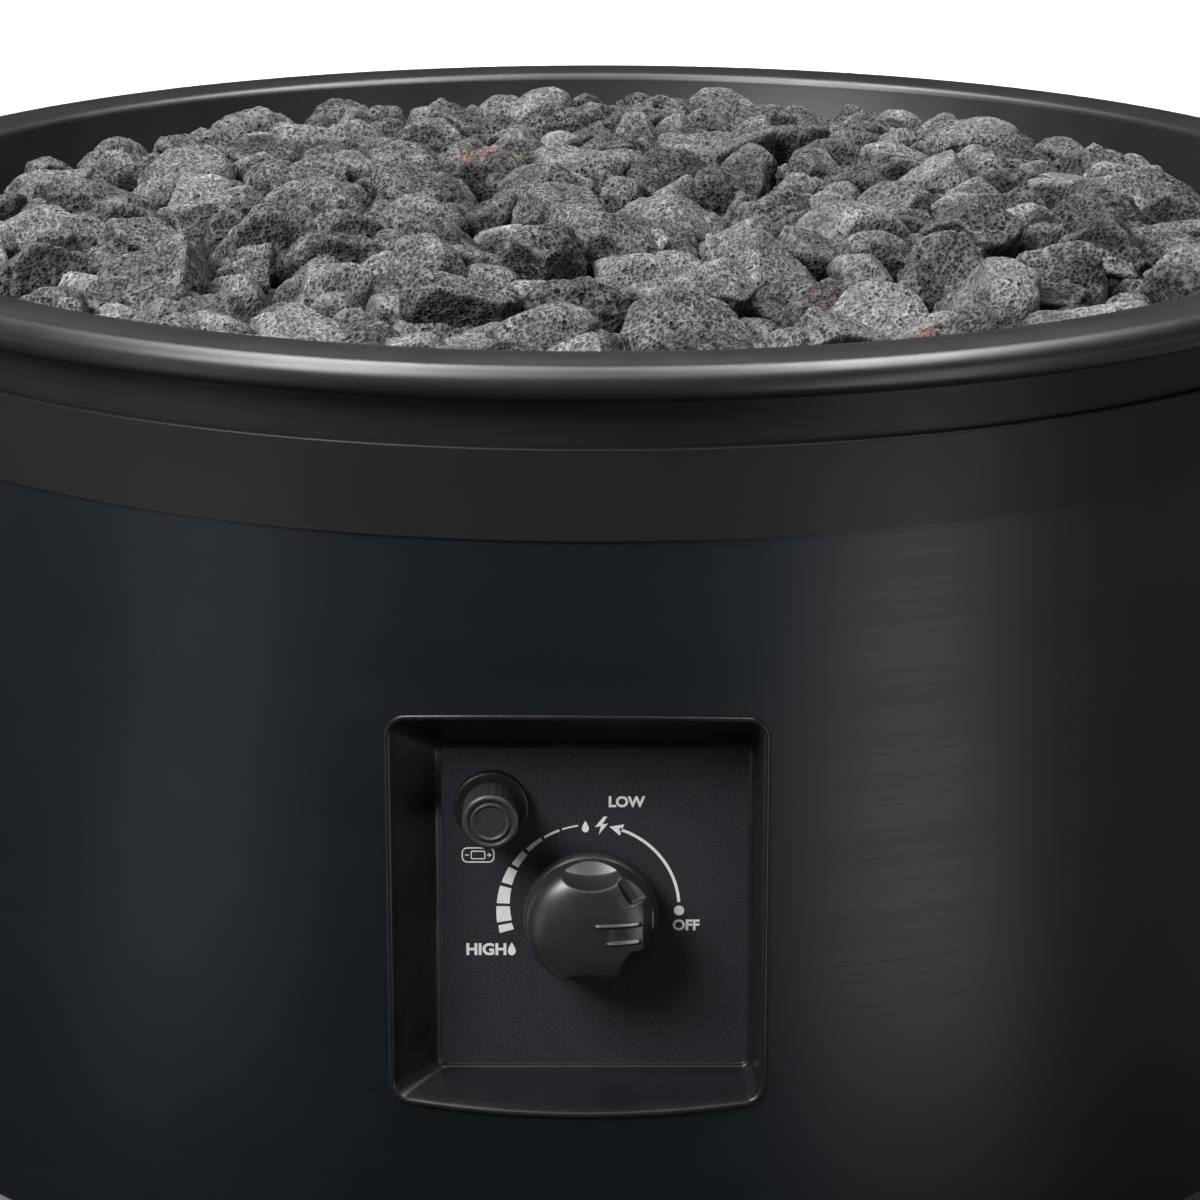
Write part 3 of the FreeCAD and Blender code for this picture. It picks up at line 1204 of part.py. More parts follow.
def igniter():
    body = new_body("igniter_barrel")
    facing(body, "barrel", [
        ("0", "barrel_back"),
        ("barrel_radius", "barrel_back"),
        ("barrel_radius", "plate_front"),
        ("flange_radius", "plate_front"),
        ("flange_radius", "barrel_front - 1"),
        ("flange_radius - 1", "barrel_front", "1", "left"),
        ("thread_radius", "barrel_front"),
        ("thread_radius", "thread_front"),
        ("battery_tube", "thread_front"),
        ("battery_tube", "barrel_well"),
        ("0", "barrel_well"),
    ], "cap_x", "cap_z")
    body = new_body("igniter_locknut")
    extruded(body, "igniter_nut", "XZ_Plane", "igniter_nut_height", back=True, lift="plate_back",
             outline=hexagon("igniter_nut_flats"), x="cap_x", y="cap_z",
             circles=[("0", "0", "barrel_radius + running_gap")])
    body = new_body("igniter_module")
    extruded(body, "module_case", "XZ_Plane", "module_length", back=True, lift="barrel_back",
             outline=rounded_box("2 * module_half", "2 * module_half + 4", "3"),
             x="cap_x", y="cap_z")


def battery():
    body = new_body("aa_battery")
    facing(body, "cell", [
        ("0", "battery_back"),
        ("battery_radius", "battery_back"),
        ("battery_radius", "battery_front - nub_height"),
        ("nub_radius", "battery_front - nub_height"),
        ("nub_radius", "battery_front"),
        ("0", "battery_front"),
    ], "cap_x", "cap_z")
    body = new_body("battery_contact")
    facing(body, "contact", [
        ("0", "contact_front - contact_sheet"),
        ("contact_sleeve", "battery_front + battery_gap"),
        ("contact_sleeve + 1", "battery_front + battery_gap"),
        ("thread_radius - 3", "contact_front - contact_sheet"),
        ("thread_radius - 0.3", "contact_front - contact_sheet"),
        ("thread_radius - 0.3", "contact_front"),
        ("0", "contact_front"),
    ], "cap_x", "cap_z")


def battery_cap():
    body = new_body("battery_cap")
    bore = "thread_radius + running_gap"
    facing(body, "cap_shell", [
        ("0", "cap_inner"),
        (bore, "cap_inner"),
        (bore, "cap_back"),
        ("cap_radius", "cap_back"),
        ("cap_radius", "cap_face - 1.2"),
        ("cap_radius - 1.2", "cap_face", "1.2", "left"),
        ("cap_radius - 2.0", "cap_face"),
        ("cap_radius - 2.4", "cap_face - 0.7"),
        ("cap_radius - 3.2", "cap_face - 0.7"),
        ("cap_radius - 3.6", "cap_face - 0.1"),
        ("cap_radius - 4.1", "cap_face - 0.1"),
        ("cap_radius - 4.5", "cap_face - 0.6"),
        ("0", "cap_face - 0.6"),
    ], "cap_x", "cap_z")
    groove = extruded(body, "grip_groove", "XZ_Plane", "cap_length", cut=True, back=True,
                      lift="cap_back + 2", x="cap_x", y="cap_z",
                      circles=[("cap_radius", "0", "groove_depth")])
    copies(body, [groove], "cap_grooves", sketch=groove.Profile[0])


# Pilot group

def pilot_group():
    body = new_body("pilot_bracket")
    shelf = "floor_top + pilot_shelf"
    near, far = "pilot_y + pilot_plate_depth / 2", "pilot_y - pilot_plate_depth / 2"
    extruded(body, "pilot_plate", "YZ_Plane", "2 * pilot_plate_half", middle=True, lift="pilot_x",
             outline=[
                 (far, "floor_top"),
                 (near, "floor_top"),
                 (near, shelf),
                 ("pilot_y - electrode_radius - 4", shelf),
                 ("pilot_y - electrode_radius - 4", f"{shelf} - pilot_sheet"),
                 (f"{near} - pilot_sheet", f"{shelf} - pilot_sheet"),
                 (f"{near} - pilot_sheet", "floor_top + pilot_sheet"),
                 (far, "floor_top + pilot_sheet"),
             ])
    holes = [("electrode_x", "pilot_y", "electrode_radius + running_gap"),
             ("probe_x", "pilot_y", "probe_radius + running_gap"),
             ("pilot_x", "pilot_y - pilot_plate_depth / 3", "tiny_shank + screw_gap")]
    extruded(body, "pilot_holes", "XY_Plane", "pilot_shelf + 4", cut=True, lift=f"{shelf} + 1",
             circles=holes)
    body = new_body("pilot_screws")
    upright_screw(body, "pilot_screw", "floor_top + pilot_sheet", "pilot_sheet + bowl_sheet + 4",
                  "tiny", "pilot_x", "pilot_y - pilot_plate_depth / 3")
    body = new_body("electrode_insulator")
    upright(body, "ceramic", [
        ("pin_radius + running_gap", "floor_under - 4"),
        ("electrode_radius", "floor_under - 4"),
        ("electrode_radius", "floor_top + electrode_rise - 2"),
        ("electrode_radius - 1", "floor_top + electrode_rise"),
        ("pin_radius + running_gap", "floor_top + electrode_rise"),
    ], "electrode_x", "pilot_y")
    body = new_body("electrode_pin")
    upright(body, "pin", [
        ("0", "floor_under - pin_drop"),
        ("pin_radius", "floor_under - pin_drop"),
        ("pin_radius", "floor_top + pin_rise - 1"),
        ("0", "floor_top + pin_rise"),
    ], "electrode_x", "pilot_y")
    body = new_body("thermocouple_probe")
    upright(body, "probe", [
        ("0", "floor_under - 8"),
        ("probe_radius", "floor_under - 8"),
        ("probe_radius", "floor_top + probe_rise - 2"),
        ("probe_radius - 1", "floor_top + probe_rise"),
        ("0", "floor_top + probe_rise"),
    ], "probe_x", "pilot_y")
    body = new_body("pilot_hood")
    side = "pilot_plate_half + seat_gap"
    roof = "floor_top + hood_height"
    extruded(body, "hood", "XZ_Plane", "pilot_plate_depth", middle=False, lift=f"-({near})",
             x="pilot_x", outline=[
                 (f"-({side}) - hood_sheet", "floor_top"),
                 (f"-({side})", "floor_top"),
                 (f"-({side})", f"{roof} - hood_sheet"),
                 (side, f"{roof} - hood_sheet"),
                 (side, "floor_top"),
                 (f"{side} + hood_sheet", "floor_top"),
                 (f"{side} + hood_sheet", roof),
                 (f"-({side}) - hood_sheet", roof),
             ])
    extruded(body, "hood_slots", "YZ_Plane", "4 * pilot_plate_half", middle=True, cut=True,
             lift="pilot_x", outline=box_outline(f"{far} + 6", f"{roof} - 14", f"{near} - 6",
                                                 f"{roof} - 8"))


# Gas inlet, pipes and leads

def gas_inlet():
    body = new_body("inlet_fitting")
    along_y(body, "fitting", [
        ("fitting_bore", "fitting_end"),
        ("flare_radius - 1", "fitting_end"),
        ("flare_radius - 1", "fitting_back"),
        ("fitting_flats / 2 - 0.2", "fitting_back"),
        ("fitting_flats / 2 - 0.2", "fitting_front"),
        ("flare_radius", "fitting_front"),
        ("flare_radius", "flare_end - 2"),
        ("fitting_bore + 0.8", "flare_end"),
        ("fitting_bore", "flare_end"),
    ], "knob_x", "inlet_z")
    extruded(body, "fitting_hexagon", "XZ_Plane", "fitting_hex", lift="-(fitting_front)",
             x="knob_x", y="inlet_z", outline=hexagon("fitting_flats"),
             circles=[("0", "0", "fitting_bore + 1")])
    body = new_body("inlet_bracket")
    extruded(body, "bracket_plate", "YZ_Plane", "2 * inlet_half", middle=True, lift="knob_x", outline=[
        ("bracket_back - inlet_leg", "base_top"),
        ("fitting_back", "base_top"),
        ("fitting_back", "inlet_z + fitting_flats * 0.8"),
        ("bracket_back", "inlet_z + fitting_flats * 0.8"),
        ("bracket_back", "base_top + inlet_sheet"),
        ("bracket_back - inlet_leg", "base_top + inlet_sheet"),
    ])
    extruded(body, "bracket_bore", "XZ_Plane", "inlet_sheet + 2", cut=True,
             lift="-(bracket_back - 1)",
             circles=[("knob_x", "inlet_z", "flare_radius - 1 + running_gap")])
    body = new_body("inlet_locknut")
    extruded(body, "inlet_hexagon", "XZ_Plane", "inlet_nut", lift="-(bracket_back)",
             outline=hexagon("fitting_flats"), x="knob_x", y="inlet_z",
             circles=[("0", "0", "flare_radius - 1 + running_gap")])


def pipes():
    routed_tube("supply_pipe", [
        ("knob_x", "fitting_end", "inlet_z"),
        ("knob_x", "-inlet_front", "inlet_z"),
        ("knob_x", "-inlet_front", "knob_z - inlet_drop"),
    ], "pipe_radius", "pipe_radius - pipe_wall", "pipe_bend")
    body = new_body("pipe_clips")
    for number, y in enumerate(("150", "-120")):
        extruded(body, f"pipe_clip_{number}", "XZ_Plane", "2 * clip_half", middle=True, x="knob_x",
                 lift=f"-({y})",
                 outline=box_outline("-clip_half", "base_top", "clip_half",
                                     "inlet_z + pipe_radius + 4"),
                 circles=[("0", "inlet_z", "pipe_radius + seat_gap")])
    outlet_y = "-(chamber_front - plug_length / 2)"
    nut_end = "knob_x + outlet_reach + hose_nut_length"
    hose_end = "jet_end - hose_nut_length"
    body = new_body("hose_nuts")
    extruded(body, "valve_hose_nut", "YZ_Plane", "hose_nut_length", lift="knob_x + outlet_reach",
             x=outlet_y, y="knob_z", outline=hexagon("hose_nut_flats"))
    extruded(body, "jet_hose_nut", "XY_Plane", "hose_nut_length", lift=hose_end,
             outline=hexagon("hose_nut_flats"))
    routed_tube("burner_hose", [
        (nut_end, outlet_y, "knob_z"),
        (f"{nut_end} + 48", outlet_y, "knob_z"),
        (f"{nut_end} + 62", f"{outlet_y} + 60", "knob_z - 22"),
        (f"{nut_end} + 46", f"{outlet_y} + 130", "knob_z - 42"),
        ("36", "-86", "knob_z - 58"),
        ("4", "-22", f"{hose_end} - 86"),
        ("0", "0", f"{hose_end} - 44"),
        ("0", "0", hose_end),
    ], "hose_radius", "hose_bore")


def leads():
    module_y = "-(barrel_back - module_length)"
    routed_tube("ignition_lead", [
        ("cap_x", module_y, "cap_z"),
        ("cap_x", f"{module_y} + 26", "cap_z"),
        ("cap_x + 18", "pilot_y - 32", "shield_top - shield_sheet - 51.5"),
        ("electrode_x - 14", "pilot_y - 8", "shield_top - shield_sheet - 35.5"),
        ("electrode_x", "pilot_y", "floor_under - pin_drop - 24"),
        ("electrode_x", "pilot_y", "floor_under - pin_drop"),
    ], "lead_radius")
    tail_y = "-(valve_back - magnet_hex - tail_length)"
    routed_tube("thermocouple_lead", [
        ("knob_x", tail_y, "knob_z"),
        ("knob_x", f"{tail_y} + 24", "knob_z"),
        ("knob_x + 22", f"{tail_y} + 42", "knob_z + 18"),
        ("probe_x - 4", "pilot_y - 6", "knob_z + 44"),
        ("probe_x", "pilot_y", "knob_z + 80"),
        ("probe_x", "pilot_y", "floor_under - 8"),
    ], "thin_lead_radius")
    switch_y = "-(chamber_front)"
    switch_z = "knob_z + switch_base + switch_height / 2"
    routed_tube("switch_lead", [
        ("knob_x", switch_y, switch_z),
        ("knob_x", f"{switch_y} + 12", switch_z),
        ("knob_x - 10", f"{switch_y} + 21", f"{switch_z} + 6"),
        ("cap_x + module_half + 12", f"{switch_y} + 26", f"{switch_z} + 14"),
        ("cap_x + module_half", f"{switch_y} + 26", f"{switch_z} + 14"),
    ], "thin_lead_radius")


# Checking and writing

def nodes():
    """Each sub-part: every body, the plain features and the finished bezel."""
    found = [item for item in DOC.Objects if item.TypeId in ("PartDesign::Body", "Part::Feature")]
    return found + [DOC.getObject("control_bezel")]


def check_document():
    DOC.recompute()
    for item in DOC.Objects:
        if "Invalid" in item.State or "Error" in item.State:
            raise ValueError(f"{item.Name} failed: {item.State}")
    for item in nodes():
        if item.Shape.isNull() or not item.Shape.isValid() or not item.Shape.Solids:
            raise ValueError(f"{item.Label} has no valid solid")


def write_parts():
    os.makedirs("parts", exist_ok=True)
    for item in nodes():
        item.Shape.exportStep(f"parts/{item.Label}.step")
        print(item.Label, len(item.Shape.Solids), round(item.Shape.Volume))


fill_sheet()
for build in (drum_wall, collar_ring, base_plate, feet, fire_bowl, bowl_brackets, burner_ring,
              burner_supports, air_mixer, heat_shield, lava_bed, lava_rocks, control_bezel,
              control_plate, clamp_bars, knob, valve_stem, thrust_collar, stem_spring, valve_plug,
              gas_valve_body, microswitch, safety_magnet, igniter, battery, battery_cap,
              pilot_group, gas_inlet, pipes, leads):
    build()
check_document()
write_parts()
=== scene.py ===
import json
import math
import random

import bmesh
import bpy
import numpy as np
from mathutils import Matrix, Vector
from mathutils.geometry import delaunay_2d_cdt


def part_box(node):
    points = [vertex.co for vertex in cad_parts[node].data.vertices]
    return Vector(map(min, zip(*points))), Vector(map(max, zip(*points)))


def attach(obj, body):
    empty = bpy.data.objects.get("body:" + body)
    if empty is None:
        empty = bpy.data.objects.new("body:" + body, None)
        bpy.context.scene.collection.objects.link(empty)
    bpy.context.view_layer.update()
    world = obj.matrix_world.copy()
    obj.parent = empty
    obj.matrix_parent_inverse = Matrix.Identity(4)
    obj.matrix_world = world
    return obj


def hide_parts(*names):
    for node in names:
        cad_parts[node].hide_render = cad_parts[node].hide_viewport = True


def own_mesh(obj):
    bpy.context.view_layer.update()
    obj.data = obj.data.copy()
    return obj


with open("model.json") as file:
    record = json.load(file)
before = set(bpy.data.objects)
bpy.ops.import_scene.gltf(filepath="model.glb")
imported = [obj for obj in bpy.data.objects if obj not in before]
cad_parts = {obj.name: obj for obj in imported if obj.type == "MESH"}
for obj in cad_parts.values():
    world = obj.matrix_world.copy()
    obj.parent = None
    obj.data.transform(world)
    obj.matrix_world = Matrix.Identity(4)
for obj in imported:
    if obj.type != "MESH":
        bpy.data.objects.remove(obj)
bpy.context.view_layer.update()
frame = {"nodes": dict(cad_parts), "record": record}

MM = 0.001

# Photograph's view: distance and height over the rim, pitch down, focal length in pixels.
VIEW_DISTANCE = 1778 * MM
VIEW_OVER_RIM = 332.7 * MM
VIEW_PITCH = math.radians(16.49)
FOCAL_PIXELS = 4022.3
PHOTO_SIZE = 1200
AXIS_SHIFT_PIXELS = 3
SENSOR_WIDTH = 36.0

RIM_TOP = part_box("fire_bowl")[1][2]


# Materials

class Painter:
    """A material's node tree, with the few node patterns that the materials share."""

    def __init__(self, name, color, roughness, metallic=0.0, **sockets):
        self.material = bpy.data.materials.new(name)
        self.material.use_nodes = True
        self.nodes = self.material.node_tree.nodes
        self.links = self.material.node_tree.links
        self.shader = self.nodes["Principled BSDF"]
        self.shader.inputs["Base Color"].default_value = (*color, 1)
        self.shader.inputs["Roughness"].default_value = roughness
        self.shader.inputs["Metallic"].default_value = metallic
        for socket, amount in sockets.items():
            self.shader.inputs[socket.replace("_", " ")].default_value = amount
        self.place = self.nodes.new("ShaderNodeTexCoord").outputs["Object"]
        self.height = None

    def stretched(self, scale):
        mapping = self.nodes.new("ShaderNodeMapping")
        mapping.inputs["Scale"].default_value = scale
        self.links.new(self.place, mapping.inputs["Vector"])
        return mapping.outputs["Vector"]

    def noise(self, scale, detail=3.0, roughness=0.55, stretch=None, distortion=0.0):
        node = self.nodes.new("ShaderNodeTexNoise")
        node.inputs["Scale"].default_value = scale
        node.inputs["Detail"].default_value = detail
        node.inputs["Roughness"].default_value = roughness
        node.inputs["Distortion"].default_value = distortion
        self.links.new(self.stretched(stretch) if stretch else self.place, node.inputs["Vector"])
        return node.outputs["Fac"]

    def cells(self, scale, feature="F1", randomness=1.0):
        node = self.nodes.new("ShaderNodeTexVoronoi")
        node.feature = feature
        node.inputs["Scale"].default_value = scale
        node.inputs["Randomness"].default_value = randomness
        self.links.new(self.place, node.inputs["Vector"])
        return node.outputs["Distance"]

    def ramp(self, value, stops):
        """Colours or greys at places along a value."""
        node = self.nodes.new("ShaderNodeValToRGB")
        marks = node.color_ramp.elements
        while len(marks) < len(stops):
            marks.new(0.5)
        for mark, (place, color) in zip(marks, stops):
            mark.position = place
            mark.color = (*color, 1) if isinstance(color, tuple) else (color, color, color, 1)
        self.links.new(value, node.inputs["Fac"])
        return node.outputs["Color"]

    def ranged(self, value, low, high, start=0.3, end=0.7):
        node = self.nodes.new("ShaderNodeMapRange")
        limits = {"From Min": start, "From Max": end, "To Min": low, "To Max": high}
        for socket, amount in limits.items():
            node.inputs[socket].default_value = amount
        self.links.new(value, node.inputs["Value"])
        return node.outputs["Result"]

    def mixed(self, factor, first, second, blend="MIX"):
        """Two colours, each a socket or a plain colour, mixed by a socket or a number."""
        node = self.nodes.new("ShaderNodeMix")
        node.data_type = "RGBA"
        node.blend_type = blend
        for index, value in ((0, factor), (6, first), (7, second)):
            if isinstance(value, (int, float)):
                node.inputs[index].default_value = value
            elif isinstance(value, tuple):
                node.inputs[index].default_value = (*value, 1)
            else:
                self.links.new(value, node.inputs[index])
        return node.outputs[2]

    def color(self, value):
        self.links.new(value, self.shader.inputs["Base Color"])

    def vary(self, value, color, dark, pale, start=0.3, end=0.7):
        """Varies a colour along a value, from a share of it that is dark to one that is pale."""
        stops = [(place, tuple(share * part for part in color))
                 for place, share in ((start, dark), (end, pale))]
        self.color(self.ramp(value, stops))

    def rough(self, value):
        self.links.new(value, self.shader.inputs["Roughness"])

    def bump(self, value, distance, strength=1.0):
        node = self.nodes.new("ShaderNodeBump")
        node.inputs["Strength"].default_value = strength
        node.inputs["Distance"].default_value = distance
        self.links.new(value, node.inputs["Height"])
        if self.height:
            self.links.new(self.height, node.inputs["Normal"])
        self.height = node.outputs["Normal"]
        self.links.new(self.height, self.shader.inputs["Normal"])

    def soft_edges(self, radius):
        """Rounds the sharp edges of a CAD mesh in the light that they catch."""
        node = self.nodes.new("ShaderNodeBevel")
        node.samples = 4
        node.inputs["Radius"].default_value = radius
        self.height = node.outputs["Normal"]
        self.links.new(self.height, self.shader.inputs["Normal"])


def coated_steel(name, color, roughness, level, brushed):
    """Satin powder coat. The wall shows the faint level lines of the sheet under it."""
    paint = Painter(name, color, roughness, Specular_IOR_Level=level)
    paint.vary(paint.noise(5, 4, 0.6), color, 0.72, 1.3)
    if brushed:
        lines = paint.noise(1, 3, 0.75, stretch=(2.0, 2.0, 1100))
        broad = paint.noise(1, 2, 0.5, stretch=(1.2, 1.2, 60))
        both = paint.mixed(0.35, lines, broad)
        paint.rough(paint.ranged(both, roughness - 0.06, roughness + 0.06))
        paint.bump(lines, 0.02 * MM, 0.3)
    else:
        cloud = paint.noise(28, 3)
        paint.rough(paint.ranged(cloud, roughness - 0.035, roughness + 0.035))
    paint.bump(paint.noise(1400, 2), 0.015 * MM, 0.35)
    return paint.material


def moulded(name, color, roughness, grain=0.03, specks=False, level=0.5, edge=0.45):
    """Moulded plastic or textured paint. Grain and edge are in millimetres."""
    paint = Painter(name, color, roughness, Specular_IOR_Level=level)
    paint.soft_edges(edge * MM)
    fine = paint.noise(1500, 3, 0.6)
    paint.rough(paint.ranged(paint.noise(60, 3), roughness - 0.05, roughness + 0.06))
    if specks:
        paint.vary(fine, color, 0.6, 1.9, start=0.35, end=0.68)
    else:
        paint.vary(paint.noise(40, 3), color, 0.8, 1.2)
    paint.bump(fine, grain * MM, 0.6)
    return paint.material


def metal(name, color, roughness, stretch=None, spots=0.0):
    """Bare or plated metal, brushed where it is stretched, and cloudier the more spots it has."""
    paint = Painter(name, color, roughness, metallic=1.0)
    paint.soft_edges(0.2 * MM)
    paint.vary(paint.noise(25, 4), color, 0.75 - spots, 1.0)
    grain = paint.noise(1 if stretch else 700, 2, stretch=stretch)
    paint.rough(paint.ranged(grain, roughness - 0.08, roughness + 0.1))
    paint.bump(grain, 0.01 * MM, 0.3)
    return paint.material


def rubber(name):
    paint = Painter(name, (0.018, 0.018, 0.018), 0.75)
    paint.rough(paint.ranged(paint.noise(80, 3), 0.65, 0.85))
    paint.bump(paint.noise(900, 3), 0.05 * MM, 0.5)
    return paint.material


def ceramic():
    paint = Painter("fired_ceramic", (0.78, 0.75, 0.68), 0.5)
    cloud = paint.noise(200, 3)
    paint.color(paint.ramp(cloud, [(0.3, (0.66, 0.62, 0.54)), (0.7, (0.82, 0.80, 0.74))]))
    paint.bump(paint.noise(2000, 2), 0.02 * MM, 0.4)
    return paint.material


LAVA_DENSE = [(0.30, (0.13, 0.13, 0.134)), (0.50, (0.26, 0.26, 0.262)),
              (0.70, (0.47, 0.466, 0.460))]
LAVA_POROUS = [(0.30, (0.030, 0.030, 0.032)), (0.52, (0.075, 0.075, 0.078)),
               (0.72, (0.19, 0.188, 0.186))]
# The pale grey of the painted highlight on the stones' ridges.
LAVA_RIDGE_HIGHLIGHT = (0.46, 0.455, 0.45)
LAVA_RUST = (0.42, 0.17, 0.10)
BLACK = (0.0, 0.0, 0.0)
WHITE = (1.0, 1.0, 1.0)


def lava():
    """Porous grey lava rock. The mesh holds each stone's tone, from dark and open to pale."""
    paint = Painter("lava_rock", (0.14, 0.14, 0.14), 0.92, Specular_IOR_Level=0.18)
    attribute = paint.nodes.new("ShaderNodeAttribute")
    attribute.attribute_name = "tone"
    tone = attribute.outputs["Fac"]
    cloud = paint.noise(60, 6, 0.7)
    stone = paint.mixed(tone, paint.ramp(cloud, LAVA_POROUS), paint.ramp(cloud, LAVA_DENSE))

    # Fine pores everywhere, wide ones in patches, and grit.
    fine_pore = paint.ramp(paint.cells(620), [(0.26, 0.0), (0.60, 1.0)])
    wide_pore = paint.ramp(paint.cells(300), [(0.20, 0.0), (0.42, 1.0)])
    patch = paint.ramp(paint.noise(120, 2, 0.6), [(0.40, 0.0), (0.54, 1.0)])
    wide_pore = paint.mixed(patch, WHITE, wide_pore)
    fine = paint.noise(1500, 3, 0.75)
    grit = paint.ramp(fine, [(0.34, 0.35), (0.66, 1.5)])
    openness = paint.ramp(tone, [(0.1, 0.92), (0.9, 0.5)])
    # Painted shade inside the pores: the pore masks darken the colour.
    stone = paint.mixed(openness, stone, fine_pore, "MULTIPLY")
    stone = paint.mixed(openness, stone, wide_pore, "MULTIPLY")
    stone = paint.mixed(0.85, stone, grit, "MULTIPLY")

    # Painted highlight on the stones' ridges, painted shade in their hollows, and painted light on
    # their upper faces with painted shade on their sides and under faces.
    surface = paint.nodes.new("ShaderNodeNewGeometry")
    # Painted highlight: the sharper ridges are mixed towards pale grey.
    ridge_highlight = paint.ramp(surface.outputs["Pointiness"], [(0.52, 0.0), (0.60, 1.0)])
    pale = paint.mixed(0.55, stone, LAVA_RIDGE_HIGHLIGHT)
    stone = paint.mixed(paint.mixed(0.6, BLACK, ridge_highlight), stone, pale)
    # Painted shade: the hollows and creases of the stones are darkened.
    hollow = paint.ramp(surface.outputs["Pointiness"], [(0.38, 0.2), (0.49, 1.0)])
    stone = paint.mixed(0.9, stone, hollow, "MULTIPLY")
    # Painted light and shade: the colour is lighter on faces that look up and darker on sides and
    # under faces.
    upward = paint.nodes.new("ShaderNodeSeparateXYZ")
    paint.links.new(surface.outputs["Normal"], upward.inputs[0])
    top_light_side_shade = paint.ramp(upward.outputs["Z"], [(0.0, 0.55), (0.95, 1.35)])
    stone = paint.mixed(1.0, stone, top_light_side_shade, "MULTIPLY")

    # A few patches of rust.
    rust = paint.ramp(paint.noise(13, 2), [(0.68, 0.0), (0.72, 1.0)])
    flecks = paint.ramp(paint.noise(300, 2), [(0.48, 0.0), (0.56, 1.0)])
    paint.color(paint.mixed(paint.mixed(rust, BLACK, flecks), stone, LAVA_RUST))

    paint.bump(wide_pore, 1.6 * MM, 0.9)
    paint.bump(fine_pore, 0.9 * MM, 0.9)
    paint.bump(fine, 0.4 * MM, 0.6)
    return paint.material


def print_white():
    paint = Painter("dial_white", (0.80, 0.80, 0.80), 0.55)
    cloud = paint.noise(900, 3)
    paint.color(paint.ramp(cloud, [(0.25, (0.62, 0.62, 0.62)), (0.5, (0.82, 0.82, 0.82))]))
    return paint.material


def battery_sleeve():
    """A plain printed sleeve, with bands along the cell's own axis."""
    paint = Painter("battery_sleeve", (0.10, 0.16, 0.30), 0.3)
    bands = paint.noise(40, 2, 0.5, stretch=(0, 1, 0))
    paint.color(paint.ramp(bands, [(0.45, (0.05, 0.09, 0.2)), (0.5, (0.35, 0.38, 0.42))]))
    return paint.material


BLUE_BLACK = (0.0040, 0.0068, 0.0098)
NEUTRAL_BLACK = (0.0125, 0.0125, 0.0128)
RIM_BLACK = (0.013, 0.013, 0.0133)
MATERIALS = {
    "wall_coat": coated_steel("wall_coat", BLUE_BLACK, 0.40, 0.25, brushed=True),
    "rim_coat": coated_steel("rim_coat", RIM_BLACK, 0.38, 0.42, brushed=False),
    "collar_coat": coated_steel("collar_coat", NEUTRAL_BLACK, 0.42, 0.16, brushed=False),
    "plate_coat": moulded("plate_coat", (0.022, 0.0235, 0.028), 0.50, grain=0.08, specks=True,
                          level=0.20),
    "bezel_plastic": moulded("bezel_plastic", (0.0105, 0.011, 0.0135), 0.30, level=0.24, edge=0.3),
    "black_plastic": moulded("black_plastic", (0.0075, 0.0075, 0.0085), 0.42, level=0.3),
    "cap_plastic": moulded("cap_plastic", (0.022, 0.0225, 0.025), 0.42, grain=0.06, specks=True,
                           level=0.42),
    "knob_plastic": moulded("knob_plastic", (0.017, 0.017, 0.0175), 0.38, grain=0.02, level=0.55),
    "grey_plastic": moulded("grey_plastic", (0.20, 0.20, 0.21), 0.5),
    "red_plastic": moulded("red_plastic", (0.32, 0.03, 0.02), 0.45),
    "zinc": metal("zinc", (0.52, 0.53, 0.54), 0.38, spots=0.12),
    "bright_zinc": metal("bright_zinc", (0.62, 0.62, 0.62), 0.25),
    "stainless": metal("stainless", (0.55, 0.53, 0.51), 0.3, stretch=(4, 4, 600)),
    "spring_steel": metal("spring_steel", (0.45, 0.45, 0.46), 0.25),
    "brass": metal("brass", (0.68, 0.50, 0.22), 0.28),
    "copper": metal("copper", (0.70, 0.36, 0.24), 0.3, spots=0.15),
    "die_cast": metal("die_cast", (0.50, 0.51, 0.52), 0.45, spots=0.1),
    "rubber": rubber("rubber"),
    "hose_rubber": rubber("hose_rubber"),
    "ceramic": ceramic(),
    "lava": lava(),
    "dial_white": print_white(),
    "battery_sleeve": battery_sleeve(),
}

NODE_FINISH = {
    "drum_wall": "wall_coat", "collar_ring": "collar_coat", "fire_bowl": "rim_coat",
    "control_plate": "plate_coat", "battery_cap": "cap_plastic", "control_bezel": "bezel_plastic",
    "knob": "knob_plastic", "igniter_barrel": "black_plastic", "igniter_locknut": "black_plastic",
    "lava_bed": "lava", "lava_rocks": "lava", "aa_battery": "battery_sleeve",
}
SLOT_FINISH = {
    "black_steel": "wall_coat", "black_plate": "plate_coat", "zinc_sheet": "zinc",
    "stainless": "stainless", "zinc_fastener": "bright_zinc", "spring_steel": "spring_steel",
    "brass": "brass", "die_cast": "die_cast", "copper": "copper", "black_plastic": "black_plastic",
    "knob_plastic": "knob_plastic", "grey_plastic": "grey_plastic", "rubber": "rubber",
    "hose_rubber": "hose_rubber", "lead_plastic": "red_plastic", "ceramic": "ceramic",
    "lava": "lava", "cell": "battery_sleeve",
}


def dress_cad_nodes():
    slots = {part["node"]: part["material_slot"] for part in frame["record"]["subparts"]}
    for name, item in frame["nodes"].items():
        finish = MATERIALS[NODE_FINISH.get(name) or SLOT_FINISH[slots[name]]]
        item.data.materials.clear()
        item.data.materials.append(finish)


# Pieces

def piece(name, mesh, finish, body="drum", replaces=(), smooth=True):
    item = bpy.data.objects.new(name, mesh)
    bpy.context.collection.objects.link(item)
    mesh.materials.append(MATERIALS[finish])
    if smooth:
        mesh.shade_smooth()
    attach(item, body)
    if replaces:
        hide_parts(*replaces)
    return item


def mesh_of(name, points, faces):
    mesh = bpy.data.meshes.new(name)
    mesh.from_pydata([tuple(point) for point in points], [], faces)
    mesh.update()
    return mesh


